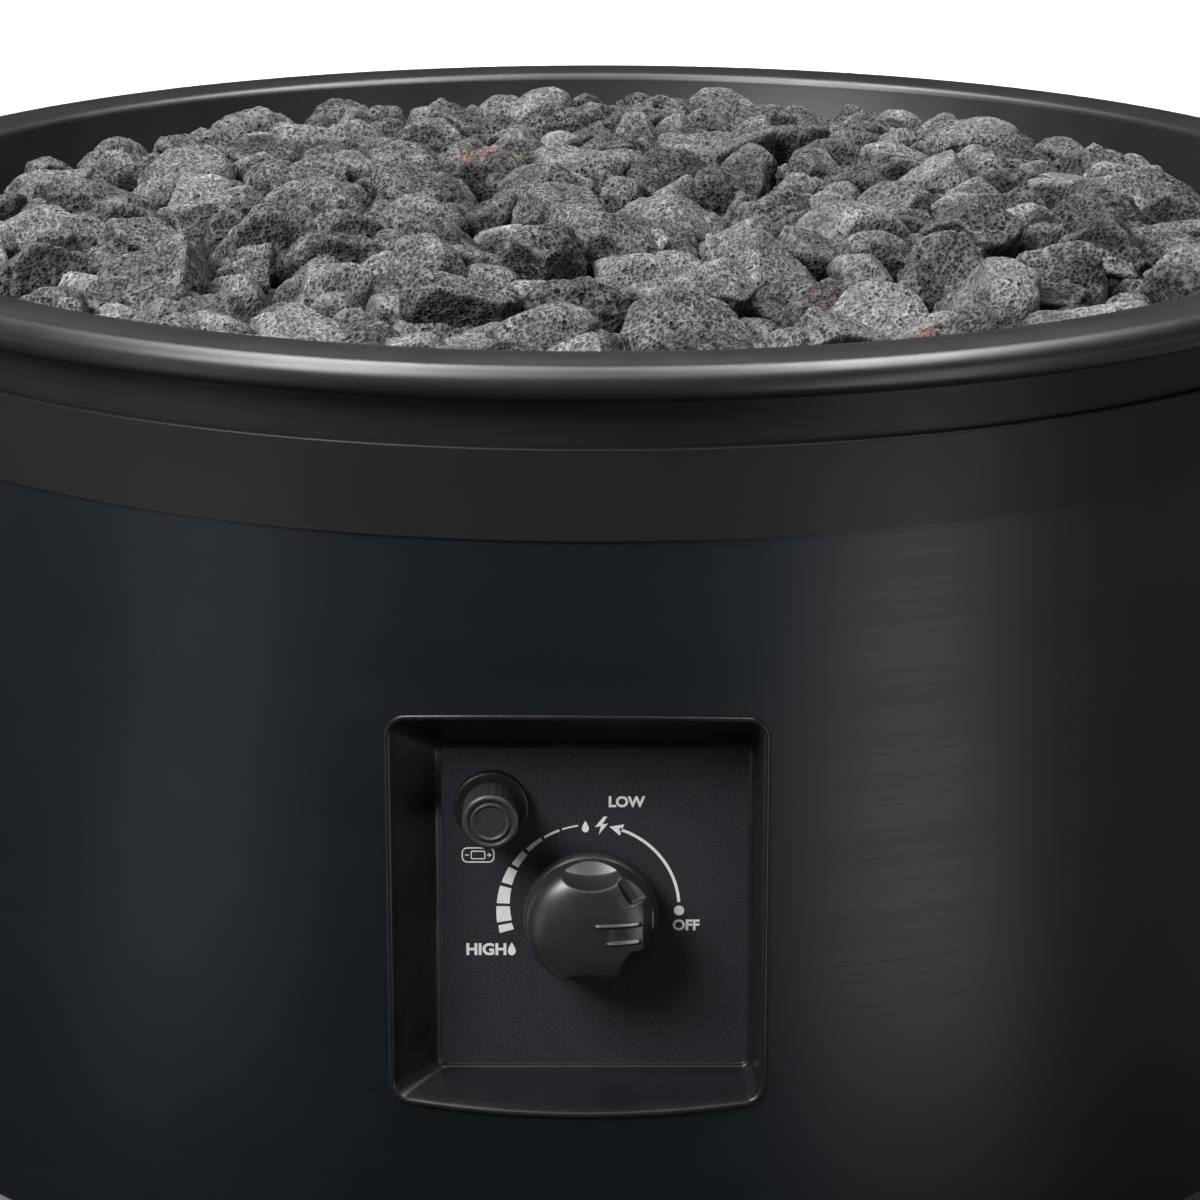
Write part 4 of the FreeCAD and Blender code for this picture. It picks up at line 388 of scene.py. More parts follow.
def mesh_from(name, form):
    mesh = bpy.data.meshes.new(name)
    form.to_mesh(mesh)
    form.free()
    return mesh


def sharpen(item, degrees):
    """Keeps edges sharper than an angle crisp in the shading."""
    form = bmesh.new()
    form.from_mesh(item.data)
    limit = math.radians(degrees)
    for edge in form.edges:
        if len(edge.link_faces) == 2 and edge.calc_face_angle() > limit:
            edge.smooth = False
    form.to_mesh(item.data)
    form.free()


# Bowl, in millimetres

BOWL_SEGMENTS = 288
HOLE_SEGMENTS = 24
SHEET = 1.5
FLOOR_TOP = 312.0
FLOOR_FLAT = 280.0
FOOT_CENTRE, FOOT_RADIUS = (FLOOR_FLAT, 332), 20
WALL_TOP = (322.6, 394)
BEND_CENTRE, BEND_RADIUS = (327.6, 394), 5.0
LAND_TOP, LAND_CROWN = 399.0, 1.0
ROLL_CENTRE, ROLL_RADIUS = (348.6, 392.0), 7.0
# Holes of the bowl's floor: radius, circle, count and first angle.
FLOOR_HOLES = ((10.6, 0, 1, 0), (4.0, 90, 6, 30), (2.2, 272, 4, 45), (2.2, 140, 3, 90),
               (2.2, 200, 4, 45))
# Holes for the leads: x, y and radius.
LEAD_HOLES = ((15, -170, 6.0), (39, -170, 6.0), (27, -180, 1.3))


def arc(centre, radius, start, end, steps):
    """Points on an arc between two angles in degrees."""
    angles = np.radians(np.linspace(start, end, steps + 1))
    return [(centre[0] + radius * math.cos(a), centre[1] + radius * math.sin(a)) for a in angles]


def crown_arc(start, end, rise, steps=14):
    """A shallow arch between two points of the same height."""
    half = (end[0] - start[0]) / 2
    points = []
    for share in np.linspace(-1, 1, steps + 1):
        points.append((start[0] + half * (1 + share), start[1] + rise * (1 - share * share)))
    return points


def land_arc(height):
    return crown_arc((BEND_CENTRE[0], height), (ROLL_CENTRE[0], height), LAND_CROWN)


def bowl_profile():
    """The section of the bowl's wall, land and rolled edge, from the floor up and back down."""
    up = arc(FOOT_CENTRE, FOOT_RADIUS, -90, -20, 8) + [WALL_TOP]
    up += arc(BEND_CENTRE, BEND_RADIUS, 180, 90, 8)[1:]
    up += land_arc(LAND_TOP)[1:]
    up += arc(ROLL_CENTRE, ROLL_RADIUS, 90, -90, 24)[1:]
    down = arc(ROLL_CENTRE, ROLL_RADIUS - SHEET, -90, 90, 24)
    down += land_arc(LAND_TOP - SHEET)[::-1][1:]
    down += arc(BEND_CENTRE, BEND_RADIUS - SHEET, 90, 180, 8)[1:]
    down += arc(FOOT_CENTRE, FOOT_RADIUS + SHEET, -20, -90, 8)
    return up + down


def loop_points(x, y, radius, count):
    turn = 2 * math.pi / count
    return [Vector((x + radius * math.cos(turn * k), y + radius * math.sin(turn * k)))
            for k in range(count)]


def bowl_floor(form):
    """The flat floor with its holes, top and under side."""
    loops = [loop_points(0, 0, FLOOR_FLAT, BOWL_SEGMENTS)]
    for radius, circle, count, first in FLOOR_HOLES:
        for number in range(count):
            angle = math.radians(first + 360 * number / count)
            x, y = circle * math.cos(angle), circle * math.sin(angle)
            loops.append(loop_points(x, y, radius, HOLE_SEGMENTS))
    loops += [loop_points(x, y, radius, HOLE_SEGMENTS) for x, y, radius in LEAD_HOLES]
    points = [point for loop in loops for point in loop]
    edges, start = [], 0
    for loop in loops:
        count = len(loop)
        edges += [(start + k, start + (k + 1) % count) for k in range(count)]
        start += count
    places, _, faces, *_ = delaunay_2d_cdt(points, edges, [], 4, 1e-5)
    levels = (FLOOR_TOP, FLOOR_TOP - SHEET)
    for z in levels:
        level = [form.verts.new((place.x * MM, place.y * MM, z * MM)) for place in places]
        for face in faces:
            form.faces.new([level[index] for index in face])
    for loop in loops[1:]:
        rings = [[form.verts.new((p.x * MM, p.y * MM, z * MM)) for p in loop] for z in levels]
        for k in range(len(loop)):
            after = (k + 1) % len(loop)
            form.faces.new((rings[0][k], rings[0][after], rings[1][after], rings[1][k]))


def bowl():
    form = bmesh.new()
    rings = []
    for radius, z in bowl_profile():
        rings.append([form.verts.new((p.x * MM, p.y * MM, z * MM))
                      for p in loop_points(0, 0, radius, BOWL_SEGMENTS)])
    for low, high in zip(rings, rings[1:]):
        for k in range(BOWL_SEGMENTS):
            after = (k + 1) % BOWL_SEGMENTS
            form.faces.new((low[k], low[after], high[after], high[k]))
    bowl_floor(form)
    bmesh.ops.remove_doubles(form, verts=form.verts, dist=1e-6)
    bmesh.ops.recalc_face_normals(form, faces=form.faces)
    item = piece("bowl_shell", mesh_from("bowl_shell", form), "rim_coat",
                 replaces=["fire_bowl"])
    sharpen(item, 50)


# Knob and battery cap, turned about axes that face the front

def turned(name, node, rows, segments, shape=None):
    """A closed mesh turned about the node's own axis, from the front's middle to the back's.

    Rows are millimetres out from the axis and forward from the node's back. The shape function
    may change both at any angle."""
    low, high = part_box(node)
    x, z, back = (low[0] + high[0]) / 2, (low[2] + high[2]) / 2, high[1]
    angles = 2 * np.pi * np.arange(segments) / segments
    points = [(x, back - rows[0][1] * MM, z)]
    for out, height in rows[1:-1]:
        outs, heights = np.full(segments, float(out)), np.full(segments, float(height))
        if shape:
            outs, heights = shape(outs, heights, angles)
        points += [(x + o * math.cos(a) * MM, back - h * MM, z + o * math.sin(a) * MM)
                   for o, h, a in zip(outs, heights, angles)]
    points.append((x, back - rows[-1][1] * MM, z))
    faces = []
    for k in range(segments):
        faces.append((0, 1 + k, 1 + (k + 1) % segments))
        last = 1 + (len(rows) - 3) * segments
        faces.append((len(points) - 1, last + (k + 1) % segments, last + k))
    for row in range(len(rows) - 3):
        near, far = 1 + row * segments, 1 + (row + 1) * segments
        for k in range(segments):
            after = (k + 1) % segments
            faces.append((near + k, far + k, far + after, near + after))
    return mesh_of(name, points, faces)


def smooth_least(first, second, width):
    """The lesser of two heights, with the crease between them rounded."""
    blend = np.clip(0.5 + 0.5 * (second - first) / width, 0, 1)
    return second * (1 - blend) + first * blend - width * blend * (1 - blend)


def smooth_step(value, start, end):
    share = np.clip((value - start) / (end - start), 0, 1)
    return share * share * (3 - 2 * share)


# The knob, in millimetres out from its axis and forward from its back
SKIRT_TOP = 6.5
SKIRT_ROUND = 4.0
SKIRT_RADIUS = 26.0
DOME_BASE, DOME_RISE, DOME_RADIUS, DOME_POWER = 13, 10, 24.361, 2.6
DOME_FLAT, DOME_BEND = 17, 7.36
KNOB_TOP = 23.9
# The thumb scoops above and below: a round cut with a ledge at its foot.
GRIP_EDGE = 16.8
SCOOP_RADIUS = 28.0
SCOOP_RUN, SCOOP_RISE = 3.4, 16.6
SCOOP_LEDGE, LEDGE_RUN = 11.4, 5.8
# The terraces above the pointer: how far out along their normal, and the height there.
STEP_NORMAL = (0.832, 0.555)
STEP_PLACES = (0, 15.4, 16.1, 18.5, 19.5, 22.0, 30)
STEP_HEIGHTS = (40, 24.0, 20.8, 19.9, 17.0, 14.8, 10.0)
# The facet below the pointer.
FACET_PLACE, FACET_HEIGHT, FACET_SLOPE = 16.75, 21.0, 1.55
# The pointer: where its half width is measured, that width and how it widens above and below,
# and its end.
FLANK_START = 5.6
FLANK_ABOVE, FLANK_BELOW = (8.8, 0.2), (5.6, 0.16)
NOSE_REACH, NOSE_SLOPE = 23.4, 3.9
# The two ribs on the pointer, with the shallow slot between them.
RIB_PLACE, RIB_HALF = 3.6, 0.95
RIB_STARTS, RIB_FADE, RIB_END = (0.8, 5.2), 2.5, (18.2, 19.2)
RIB_HEIGHT, SLOT_DEPTH = 1.0, 0.45
SLOT_SIDE, SLOT_START = (2.4, 3.2), (6.0, 10.0)


def skirt_height(out):
    """The skirt's flat top and its rounded rim."""
    over = np.clip(out - (SKIRT_RADIUS - SKIRT_ROUND), 0, SKIRT_ROUND)
    return SKIRT_TOP - SKIRT_ROUND + np.sqrt(SKIRT_ROUND ** 2 - over ** 2)


def knob_shape(out, height, angle):
    """Carves the scoops, the terraces and the facet beside the pointer, its end and its ribs."""
    right, across = out * np.cos(angle), out * np.sin(angle)
    up, above = np.abs(across), across > 0
    carved = height > SKIRT_TOP + 0.05
    inward = np.hypot(right, up - GRIP_EDGE - SCOOP_RADIUS) - SCOOP_RADIUS
    share = np.clip(1 + inward / SCOOP_RUN, 0, 1)
    wall = 0.55 * share + 0.45 * (1 - np.sqrt(1 - share ** 2))
    past = np.clip(1 + (inward + SCOOP_RUN) / LEDGE_RUN, 0, 1)
    ledge = SKIRT_TOP + (SCOOP_LEDGE - SKIRT_TOP) * past
    scoop = ledge + (SKIRT_TOP + SCOOP_RISE - SCOOP_LEDGE) * wall
    limit = np.where(inward < 0, scoop, 40.0 + 20 * inward)
    top = smooth_least(height, limit, 0.9)
    along = STEP_NORMAL[0] * right + STEP_NORMAL[1] * up
    terraces = np.interp(along, STEP_PLACES, STEP_HEIGHTS)
    facet = FACET_HEIGHT - FACET_SLOPE * (along - FACET_PLACE)
    cut = np.where(above, terraces, facet)
    widths = [half + rate * (right - FLANK_START) for half, rate in (FLANK_ABOVE, FLANK_BELOW)]
    beside = smooth_step(up - np.where(above, *widths), 0.0, 0.7)
    flank = top * (1 - beside) + smooth_least(top, cut, 0.5) * beside
    top = np.where(right > 0, flank, top)
    top = smooth_least(top, SKIRT_TOP + (NOSE_REACH - right) * NOSE_SLOPE, 0.8)
    start = np.where(above, *RIB_STARTS)
    length = smooth_step(right, start, start + RIB_FADE) * (1 - smooth_step(right, *RIB_END))
    rib = length * np.cos(np.clip(np.abs(up - RIB_PLACE) / RIB_HALF, 0, 1) * math.pi / 2) ** 2
    slot = (1 - smooth_step(up, *SLOT_SIDE)) * smooth_step(right, *SLOT_START)
    top = top + RIB_HEIGHT * rib - SLOT_DEPTH * slot
    return out, np.where(carved, np.maximum(np.minimum(top, KNOB_TOP), skirt_height(out)), height)


def knob():
    outs = list(np.linspace(0, DOME_FLAT, 58))
    outs += [DOME_FLAT + DOME_BEND * math.sin(a) for a in np.radians(np.linspace(2.5, 90, 36))]
    dome = [(out, DOME_BASE + DOME_RISE * (1 - (out / DOME_RADIUS) ** DOME_POWER) ** 0.5)
            for out in outs]
    side = [(24.36 + 0.3 * share, 13.0 - 6.0 * share) for share in np.linspace(0.1, 1, 12)]
    centre = (SKIRT_RADIUS - SKIRT_ROUND, SKIRT_TOP - SKIRT_ROUND)
    skirt = [(24.68, 6.0)] + arc(centre, SKIRT_ROUND, 47, 0, 12) + [(26.0, 0.5), (25.6, 0.0)]
    back = [(22.4, 0), (22.0, 0.4), (22.0, 3.5), (8.0, 3.5), (8.0, 0)]
    bore = [(4.05, 0), (4.05, 13.5), (0, 13.5)]
    mesh = turned("knob_body", "knob", dome + side + skirt + back + bore, 400, knob_shape)
    item = piece("knob_body", mesh, "knob_plastic", body="knob_shaft",
                 replaces=["knob"])
    sharpen(item, 60)


# The battery cap's grip, in millimetres
CAP_GROOVES = 24
GROOVE_DEPTH = 0.25
GRIP_INSIDE, GRIP_FRONT = 10.3, 14.3


def cap_shape(out, height, angle):
    """Cuts the grip grooves into the cap's side."""
    side = (out > GRIP_INSIDE) & (height < GRIP_FRONT)
    wave = np.clip(np.cos(CAP_GROOVES * angle), 0, 1) ** 2
    return np.where(side, out - GROOVE_DEPTH * wave, out), height


def battery_cap():
    face = [(r, 15.45) for r in (0, 1.5, 3, 4.5, 5.6)] + [(6.1, 15.43), (6.35, 15.55)]
    ring = arc((6.95, 15.5), 0.55, 165, 0, 10)
    valley = [(7.55, 15.2), (7.75, 15.05), (8.2, 15.0), (8.5, 15.15)]
    rim = arc((9.55, 14.85), 1.15, 165, 60, 12)[1:] + arc((9.75, 14.75), 1.1, 55, 0, 6)
    side = [(10.85, 14.4), (10.85, 14.2), (10.85, 12), (10.85, 6), (10.85, 0.6), (10.5, 0.0)]
    hollow = [(9.3, 0), (9.05, 0.3), (9.05, 13.7), (0, 13.7)]
    rows = face + ring + valley + rim + side + hollow
    mesh = turned("battery_cap_shell", "battery_cap", rows, 192, cap_shape)
    item = piece("battery_cap_shell", mesh, "cap_plastic", body="cap",
                 replaces=["battery_cap"])
    sharpen(item, 60)


SPRING_WIRE = 0.5 * MM
SPRING_TURNS = 5
SPRING_STEPS = 40
SPRING_SIDES = 12


def return_spring():
    """The coil behind the knob, drawn in place of the rigid node."""
    low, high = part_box("stem_spring")
    x, z = (low[0] + high[0]) / 2, (low[2] + high[2]) / 2
    radius = (high[0] - low[0]) / 2 - SPRING_WIRE
    rise = high[1] - low[1] - 2 * SPRING_WIRE
    steps, sides = SPRING_STEPS * SPRING_TURNS, SPRING_SIDES
    points, faces = [], []
    for step in range(steps + 1):
        turn = 2 * math.pi * SPRING_TURNS * step / steps
        y = high[1] - SPRING_WIRE - rise * step / steps
        for side in range(sides):
            around = 2 * math.pi * side / sides
            out = radius + SPRING_WIRE * math.cos(around)
            points.append((x + out * math.cos(turn), y + SPRING_WIRE * math.sin(around),
                           z + out * math.sin(turn)))
    for step in range(steps):
        for side in range(sides):
            near, after = step * sides + side, step * sides + (side + 1) % sides
            faces.append((near, after, after + sides, near + sides))
    faces += [tuple(range(sides))[::-1], tuple(steps * sides + side for side in range(sides))]
    mesh = mesh_of("return_spring", points, faces)
    item = piece("return_spring", mesh, "spring_steel", replaces=["stem_spring"])
    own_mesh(item)


# Lava rock

STONES_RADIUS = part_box("lava_rocks")[1][0]
STONE_FACES = 7, 11
BREAK_REACH = 0.56, 0.96
RIDGE_SHARPNESS = 42.0
LATTICE_SIZE = 32
# Shares of a stone's radius.
LUMP_SHARE, CRAG_SHARE, CRUMB_SHARE = 0.045, 0.032, 0.022
PITS_DENSE, PITS_OPEN = 8, 44
PIT_WIDTHS, PIT_DEPTHS = (0.07, 0.19), (0.3, 0.6)
STONE_TONES = 0.05, 0.2, 0.35, 0.55, 0.75, 0.95
# How the pile's top falls away from the rim's height, at the sides and at the front.
PILE_GAP, SIDE_FALL, FRONT_FALL = 0.4 * MM, 8 * MM, 5 * MM


def sphere_points(level):
    form = bmesh.new()
    bmesh.ops.create_icosphere(form, subdivisions=level, radius=1)
    points = np.array([vert.co[:] for vert in form.verts])
    faces = np.array([[vert.index for vert in face.verts] for face in form.faces])
    form.free()
    return points, faces


def lattice(seed):
    """Random numbers on a wrapped grid, for the stones' roughness."""
    return np.random.RandomState(seed).rand(LATTICE_SIZE, LATTICE_SIZE, LATTICE_SIZE) * 2 - 1


def roughness_at(points, grid, scale):
    """Smooth noise between the grid's numbers, from -1 to 1."""
    place = points * scale
    cell = np.floor(place).astype(int)
    part = place - cell
    part = part * part * (3 - 2 * part)
    total = np.zeros(len(points))
    for corner in range(8):
        offset = np.array([corner & 1, corner >> 1 & 1, corner >> 2 & 1])
        share = np.prod(np.where(offset, part, 1 - part), axis=1)
        x, y, z = ((cell + offset) % LATTICE_SIZE).T
        total += share * grid[x, y, z]
    return total


def unit(draw):
    return Vector((draw.gauss(0, 1), draw.gauss(0, 1), draw.gauss(0, 1))).normalized()[:]


def stone_points(directions, draw, grid, size, tone):
    """A broken lump: flat breaks that meet in ridges, with crags, hollows and open pores."""
    count = draw.randint(*STONE_FACES)
    normals = np.array([unit(draw) for _ in range(count)])
    reach = np.array([draw.uniform(*BREAK_REACH) for _ in range(count)])
    facing = np.clip(directions @ normals.T, 0.05, None)
    cut = np.minimum(reach / facing, 1.3)
    total = np.exp(-RIDGE_SHARPNESS * cut).sum(axis=1) + math.exp(-RIDGE_SHARPNESS * 1.12)
    radius = -np.log(total) / RIDGE_SHARPNESS
    spot = directions * radius[:, None] + np.array([draw.uniform(0, 30) for _ in range(3)])
    openness = 1.4 - tone
    lumps = roughness_at(spot, grid, 1.9)
    crags = 1 - 2 * np.abs(roughness_at(spot, grid, 3.6))
    crumbs = roughness_at(spot, grid, 7.5) + 0.7 * roughness_at(spot, grid, 15.0)
    radius = radius * (1 + LUMP_SHARE * lumps + CRAG_SHARE * openness * crags
                       + CRUMB_SHARE * openness * crumbs)
    for _ in range(int(PITS_DENSE + PITS_OPEN * (1 - tone))):
        near = directions @ np.array(unit(draw))
        wide = draw.uniform(*PIT_WIDTHS)
        depth = draw.uniform(*PIT_DEPTHS) * wide
        inside = np.clip((near - math.cos(wide)) / (1 - math.cos(wide)), 0, 1)
        radius = radius - depth * np.sqrt(inside)
    shape = np.array([1.0, draw.uniform(0.78, 1.0), draw.uniform(0.72, 0.95)])
    return directions * radius[:, None] * shape * size


def scatter(draw, count, spread, sizes, spacing, tries=12000):
    """Places on the disc, no two nearer than a share of their sizes."""
    found = []
    for _ in range(tries):
        if len(found) == count:
            break
        size = draw.uniform(*sizes)
        ring = (spread - size * 0.98) * math.sqrt(draw.random())
        angle = draw.uniform(0, 2 * math.pi)
        x, y = ring * math.cos(angle), ring * math.sin(angle)
        if all((x - other_x) ** 2 + (y - other_y) ** 2 > (spacing * (size + other)) ** 2
               for other_x, other_y, other in found):
            found.append((x, y, size))
    return found


def pile_top(x, y):
    """The height that the top stones reach: highest in the middle and at the back."""
    sides = (x / STONES_RADIUS) ** 4
    front = min(y / STONES_RADIUS, 0) ** 2
    return RIM_TOP - PILE_GAP - SIDE_FALL * sides - FRONT_FALL * front


def stone_layer(name, seed, level, count, sizes, spacing, drop, groups):
    """A layer of stones, each dropped below the pile's top by a share of drop, in a few pieces."""
    draw = random.Random(seed)
    grid = lattice(seed)
    directions, faces = sphere_points(level)
    piles = [([], [], []) for _ in range(groups)]
    spread = STONES_RADIUS - 1 * MM
    for x, y, size in scatter(draw, count, spread, sizes, spacing):
        tone = draw.choice(STONE_TONES) + draw.uniform(-0.05, 0.05)
        points = stone_points(directions, draw, grid, size, tone)
        spin = Matrix.Rotation(draw.uniform(0, 2 * math.pi), 3, "Z")
        tilt = Matrix.Rotation(draw.gauss(0, 0.5), 3, "X")
        points = points @ np.array(spin @ tilt).T
        ahead = min(max(0.55 - y / STONES_RADIUS, 0.25), 1)
        top = pile_top(x, y) - draw.uniform(*drop) * ahead
        points += np.array([x, y, top - points[:, 2].max()])
        group = int((math.atan2(y, x) / (2 * math.pi) + 0.5) * groups) % groups
        verts, polygons, tones = piles[group]
        polygons.append(faces + len(verts) * len(directions))
        verts.append(points)
        tones.append(np.full(len(points), tone))
    for number, (verts, polygons, tones) in enumerate(piles, start=1):
        mesh = mesh_of(f"{name}_{number}", np.vstack(verts), np.vstack(polygons).tolist())
        attribute = mesh.attributes.new("tone", "FLOAT", "POINT")
        attribute.data.foreach_set("value", np.concatenate(tones))
        piece(f"{name}_{number}", mesh, "lava", replaces=["lava_rocks"])


def lava_stones():
    stone_layer("lava_stones_low", seed=11, level=4, count=300, sizes=(13 * MM, 19 * MM),
                spacing=0.74, drop=(16 * MM, 24 * MM), groups=4)
    stone_layer("lava_stones_top", seed=23, level=5, count=230, sizes=(20 * MM, 30 * MM),
                spacing=0.90, drop=(0, 16 * MM), groups=8)


# Control recess, in millimetres

DRUM_FACE = 345.6
LIP_FACE = 346.7
FLOOR_FACE = 320.0
# Width, height, corner, bow and centre of the recess's mouth and of its floor.
MOUTH = (146.0, 157.4, 8.0, 3.0, -7.6, 182.0)
FLOOR = (121.0, 132.7, 3.5, 0.0, -0.8, 177.2)
# The tray's section: inset of the mouth and radius over the lip, inset of the floor and front
# of the ledge round the plate, and radii up the back of the lip.
LIP = ((0, DRUM_FACE), (0, 346.15), (0.25, 346.5), (0.75, LIP_FACE), (1.4, 346.6), (2.0, 346.2),
       (2.5, 345.5))
LEDGE = ((1.5, 320), (0, 320), (0, 318), (4.5, 318), (4.5, 316), (-1.4, 316), (-1.4, 320.5))
LIP_BACK, LIP_BACK_INSET = (343.5, DRUM_FACE), 1.75
COVE = 2.0
COVE_INSET = 1.5
EDGE_STEPS = 26


def recess_outline(shape, inset):
    """A rounded box whose top and bottom may bow out, smaller by an inset on each side."""
    width, height, corner, bow, x, z = shape
    half_x, half_z, corner = width / 2 - inset, height / 2 - inset, max(corner - inset, 0.6)
    points = []
    for quarter, (sx, sz) in enumerate(((1, 1), (-1, 1), (-1, -1), (1, -1))):
        for angle in np.radians(90 * quarter + np.linspace(0, 90, 9)):
            points.append((sx * (half_x - corner) + corner * math.cos(angle),
                           sz * (half_z - corner) + corner * math.sin(angle)))
        start = points[-1]
        end = (-start[0], start[1]) if quarter % 2 == 0 else (start[0], -start[1])
        for share in np.linspace(0, 1, EDGE_STEPS)[1:-1]:
            points.append(tuple(a + (b - a) * share for a, b in zip(start, end)))
    bowed = []
    for px, pz in points:
        on_level = abs(pz) > half_z - corner
        rise = bow * (1 - (px / half_x) ** 2) * math.copysign(1, pz) if on_level else 0
        bowed.append((x + px, z + pz + rise))
    return bowed


def on_drum(outline, radius):
    return [Vector((px, -math.sqrt(radius ** 2 - px ** 2), pz)) for px, pz in outline]


def on_face(outline, front):
    return [Vector((px, -front, pz)) for px, pz in outline]


def recess_tray():
    """The moulded tray: a rounded lip on the drum, sloped sides, a cove and the plate's ledge."""
    loops = [on_drum(recess_outline(MOUTH, inset), radius) for inset, radius in LIP]
    mouth = loops[-1]
    corner = on_face(recess_outline(FLOOR, 0), FLOOR_FACE)
    inner = on_face(recess_outline(FLOOR, COVE_INSET), FLOOR_FACE + 0.03)
    foot = [c + COVE * (m - c).normalized() for m, c in zip(mouth, corner)]
    for share in (0.2, 0.4, 0.6, 0.8, 1.0):
        loops.append([m.lerp(f, share) for m, f in zip(mouth, foot)])
    for share in np.linspace(0, 1, 8)[1:]:
        loops.append([f.lerp(c, share).lerp(c.lerp(n, share), share)
                      for f, c, n in zip(foot, corner, inner)])
    loops += [on_face(recess_outline(FLOOR, inset), front) for inset, front in LEDGE]
    loops += [on_drum(recess_outline(MOUTH, LIP_BACK_INSET), radius) for radius in LIP_BACK]
    count = len(loops[0])
    points = [point * MM for loop in loops for point in loop]
    faces = []
    for row in range(len(loops)):
        near, far = row * count, (row + 1) % len(loops) * count
        for k in range(count):
            after = (k + 1) % count
            faces.append((near + k, near + after, far + after, far + k))
    form = bmesh.new()
    form.from_mesh(mesh_of("recess_tray_open", points, faces))
    bmesh.ops.recalc_face_normals(form, faces=form.faces)
    item = piece("recess_tray", mesh_from("recess_tray", form), "bezel_plastic",
                 replaces=["control_bezel"])
    sharpen(item, 40)


# Dial print
PLATE_FACE = FLOOR_FACE * MM
DIAL_X = -2.3 * MM
DIAL_Z = 177 * MM
DIAL_RADIUS = 34 * MM
PRINT_THICK = 0.08 * MM
CAPITAL_HEIGHT = 0.72
# The dial's middle in the photograph, and the size of a pixel there.
DIAL_PIXEL = (591, 908)
PIXEL = 1 / 2.585 * MM
# The bars towards HIGH: first and last angle, and width in millimetres.
BARS = ((98.5, 109, 0.6), (111, 122, 1.0), (124, 136, 1.7), (138.5, 149.5, 2.9),
        (152, 163, 4.1), (165.5, 177, 5.0), (179, 189.5, 5.8), (191.5, 196.5, 5.8))
# Word, pixel of its middle, and height in pixels.
WORDS = (("OFF", (686, 927), 11), ("HIGH", (486, 953), 12.2), ("LOW", (626, 796.5), 11))


def on_plate(pixel_x, pixel_y):
    """A place on the printed plate from a pixel of the photograph."""
    x, y = DIAL_PIXEL
    return DIAL_X + (pixel_x - x) * PIXEL, DIAL_Z - (pixel_y - y) * PIXEL


def prism(form, outline):
    """A thin printed shape on the plate, from an outline of x and z."""
    front = [form.verts.new((x, -PLATE_FACE - PRINT_THICK, z)) for x, z in outline]
    back = [form.verts.new((x, -PLATE_FACE, z)) for x, z in outline]
    form.faces.new(front)
    form.faces.new(back[::-1])
    count = len(outline)
    for index in range(count):
        after = (index + 1) % count
        form.faces.new((front[after], front[index], back[index], back[after]))


def on_dial(reach, angle):
    return DIAL_X + reach * math.cos(angle), DIAL_Z + reach * math.sin(angle)


def arc_band(start, end, width_start, width_end, steps=24):
    """A band along the dial's circle, from one angle to another in degrees."""
    inner, outer = [], []
    for step in range(steps + 1):
        share = step / steps
        angle = math.radians(start + (end - start) * share)
        half = (width_start + (width_end - width_start) * share) / 2
        for side, points in ((-1, inner), (1, outer)):
            points.append(on_dial(DIAL_RADIUS + side * half, angle))
    return outer + inner[::-1]


def disc(x, z, radius, steps=32):
    angles = [2 * math.pi * k / steps for k in range(steps)]
    return [(x + radius * math.cos(angle), z + radius * math.sin(angle)) for angle in angles]


def drop(x, z, wide, tall, steps=28):
    """A flame: a drop with its point up."""
    points = []
    for step in range(steps):
        angle = 2 * math.pi * step / steps
        narrow = ((1 - math.sin(angle)) / 2) ** 0.75 if math.sin(angle) > -1 else 1
        points.append((x + wide / 2 * math.cos(angle) * min(1.15 * narrow + 0.08, 1),
                       z + tall / 2 * math.sin(angle)))
    return points


def bolt(x, z, wide, tall):
    shape = [(0.15, 0.5), (-0.5, -0.08), (-0.05, -0.02), (-0.22, -0.5), (0.5, 0.12),
             (0.05, 0.06), (0.42, 0.5)]
    return [(x + wide * a, z + tall * b) for a, b in shape]


def words(text, pixel, height_pixels):
    """Plain capitals on the plate, centred on a pixel."""
    curve = bpy.data.curves.new("dial_word", "FONT")
    curve.body = text
    curve.align_x = "CENTER"
    curve.align_y = "CENTER"
    curve.size = height_pixels * PIXEL / CAPITAL_HEIGHT
    curve.offset = 0.035 * curve.size
    curve.extrude = PRINT_THICK / 2
    curve.resolution_u = 4
    item = bpy.data.objects.new("dial_word", curve)
    mesh = bpy.data.meshes.new_from_object(item)
    x, z = on_plate(*pixel)
    place = Matrix.Translation((x, -PLATE_FACE - PRINT_THICK / 2, z))
    mesh.transform(place @ Matrix.Rotation(math.pi / 2, 4, "X"))
    bpy.data.objects.remove(item)
    return mesh


def arrow_head(form, tip, base, half_width):
    """The arrow's head on the dial's circle, from its tip's angle to its base's, in degrees."""
    ways = ((DIAL_RADIUS, tip), (DIAL_RADIUS - half_width, base), (DIAL_RADIUS + half_width, base))
    prism(form, [on_dial(way, math.radians(angle)) for way, angle in ways])


def dial_print():
    form = bmesh.new()
    prism(form, disc(*on_plate(679, 911), 2.0 * MM))
    prism(form, arc_band(4, 71, 1.15 * MM, 1.15 * MM))
    arrow_head(form, 78, 69.5, 2.4 * MM)
    for start, end, width in BARS:
        prism(form, arc_band(start, end, 0.9 * width * MM, width * MM, steps=10))
    prism(form, bolt(*on_plate(601.5, 821), 5 * MM, 7.3 * MM))
    prism(form, drop(*on_plate(585.4, 822), 3.1 * MM, 4.7 * MM))
    prism(form, drop(*on_plate(511.5, 952), 3.5 * MM, 5.4 * MM))
    battery_pictogram(form)
    for word in WORDS:
        form.from_mesh(words(*word))
    bmesh.ops.recalc_face_normals(form, faces=form.faces)
    piece("dial_print", mesh_from("dial_print", form), "dial_white", smooth=False)


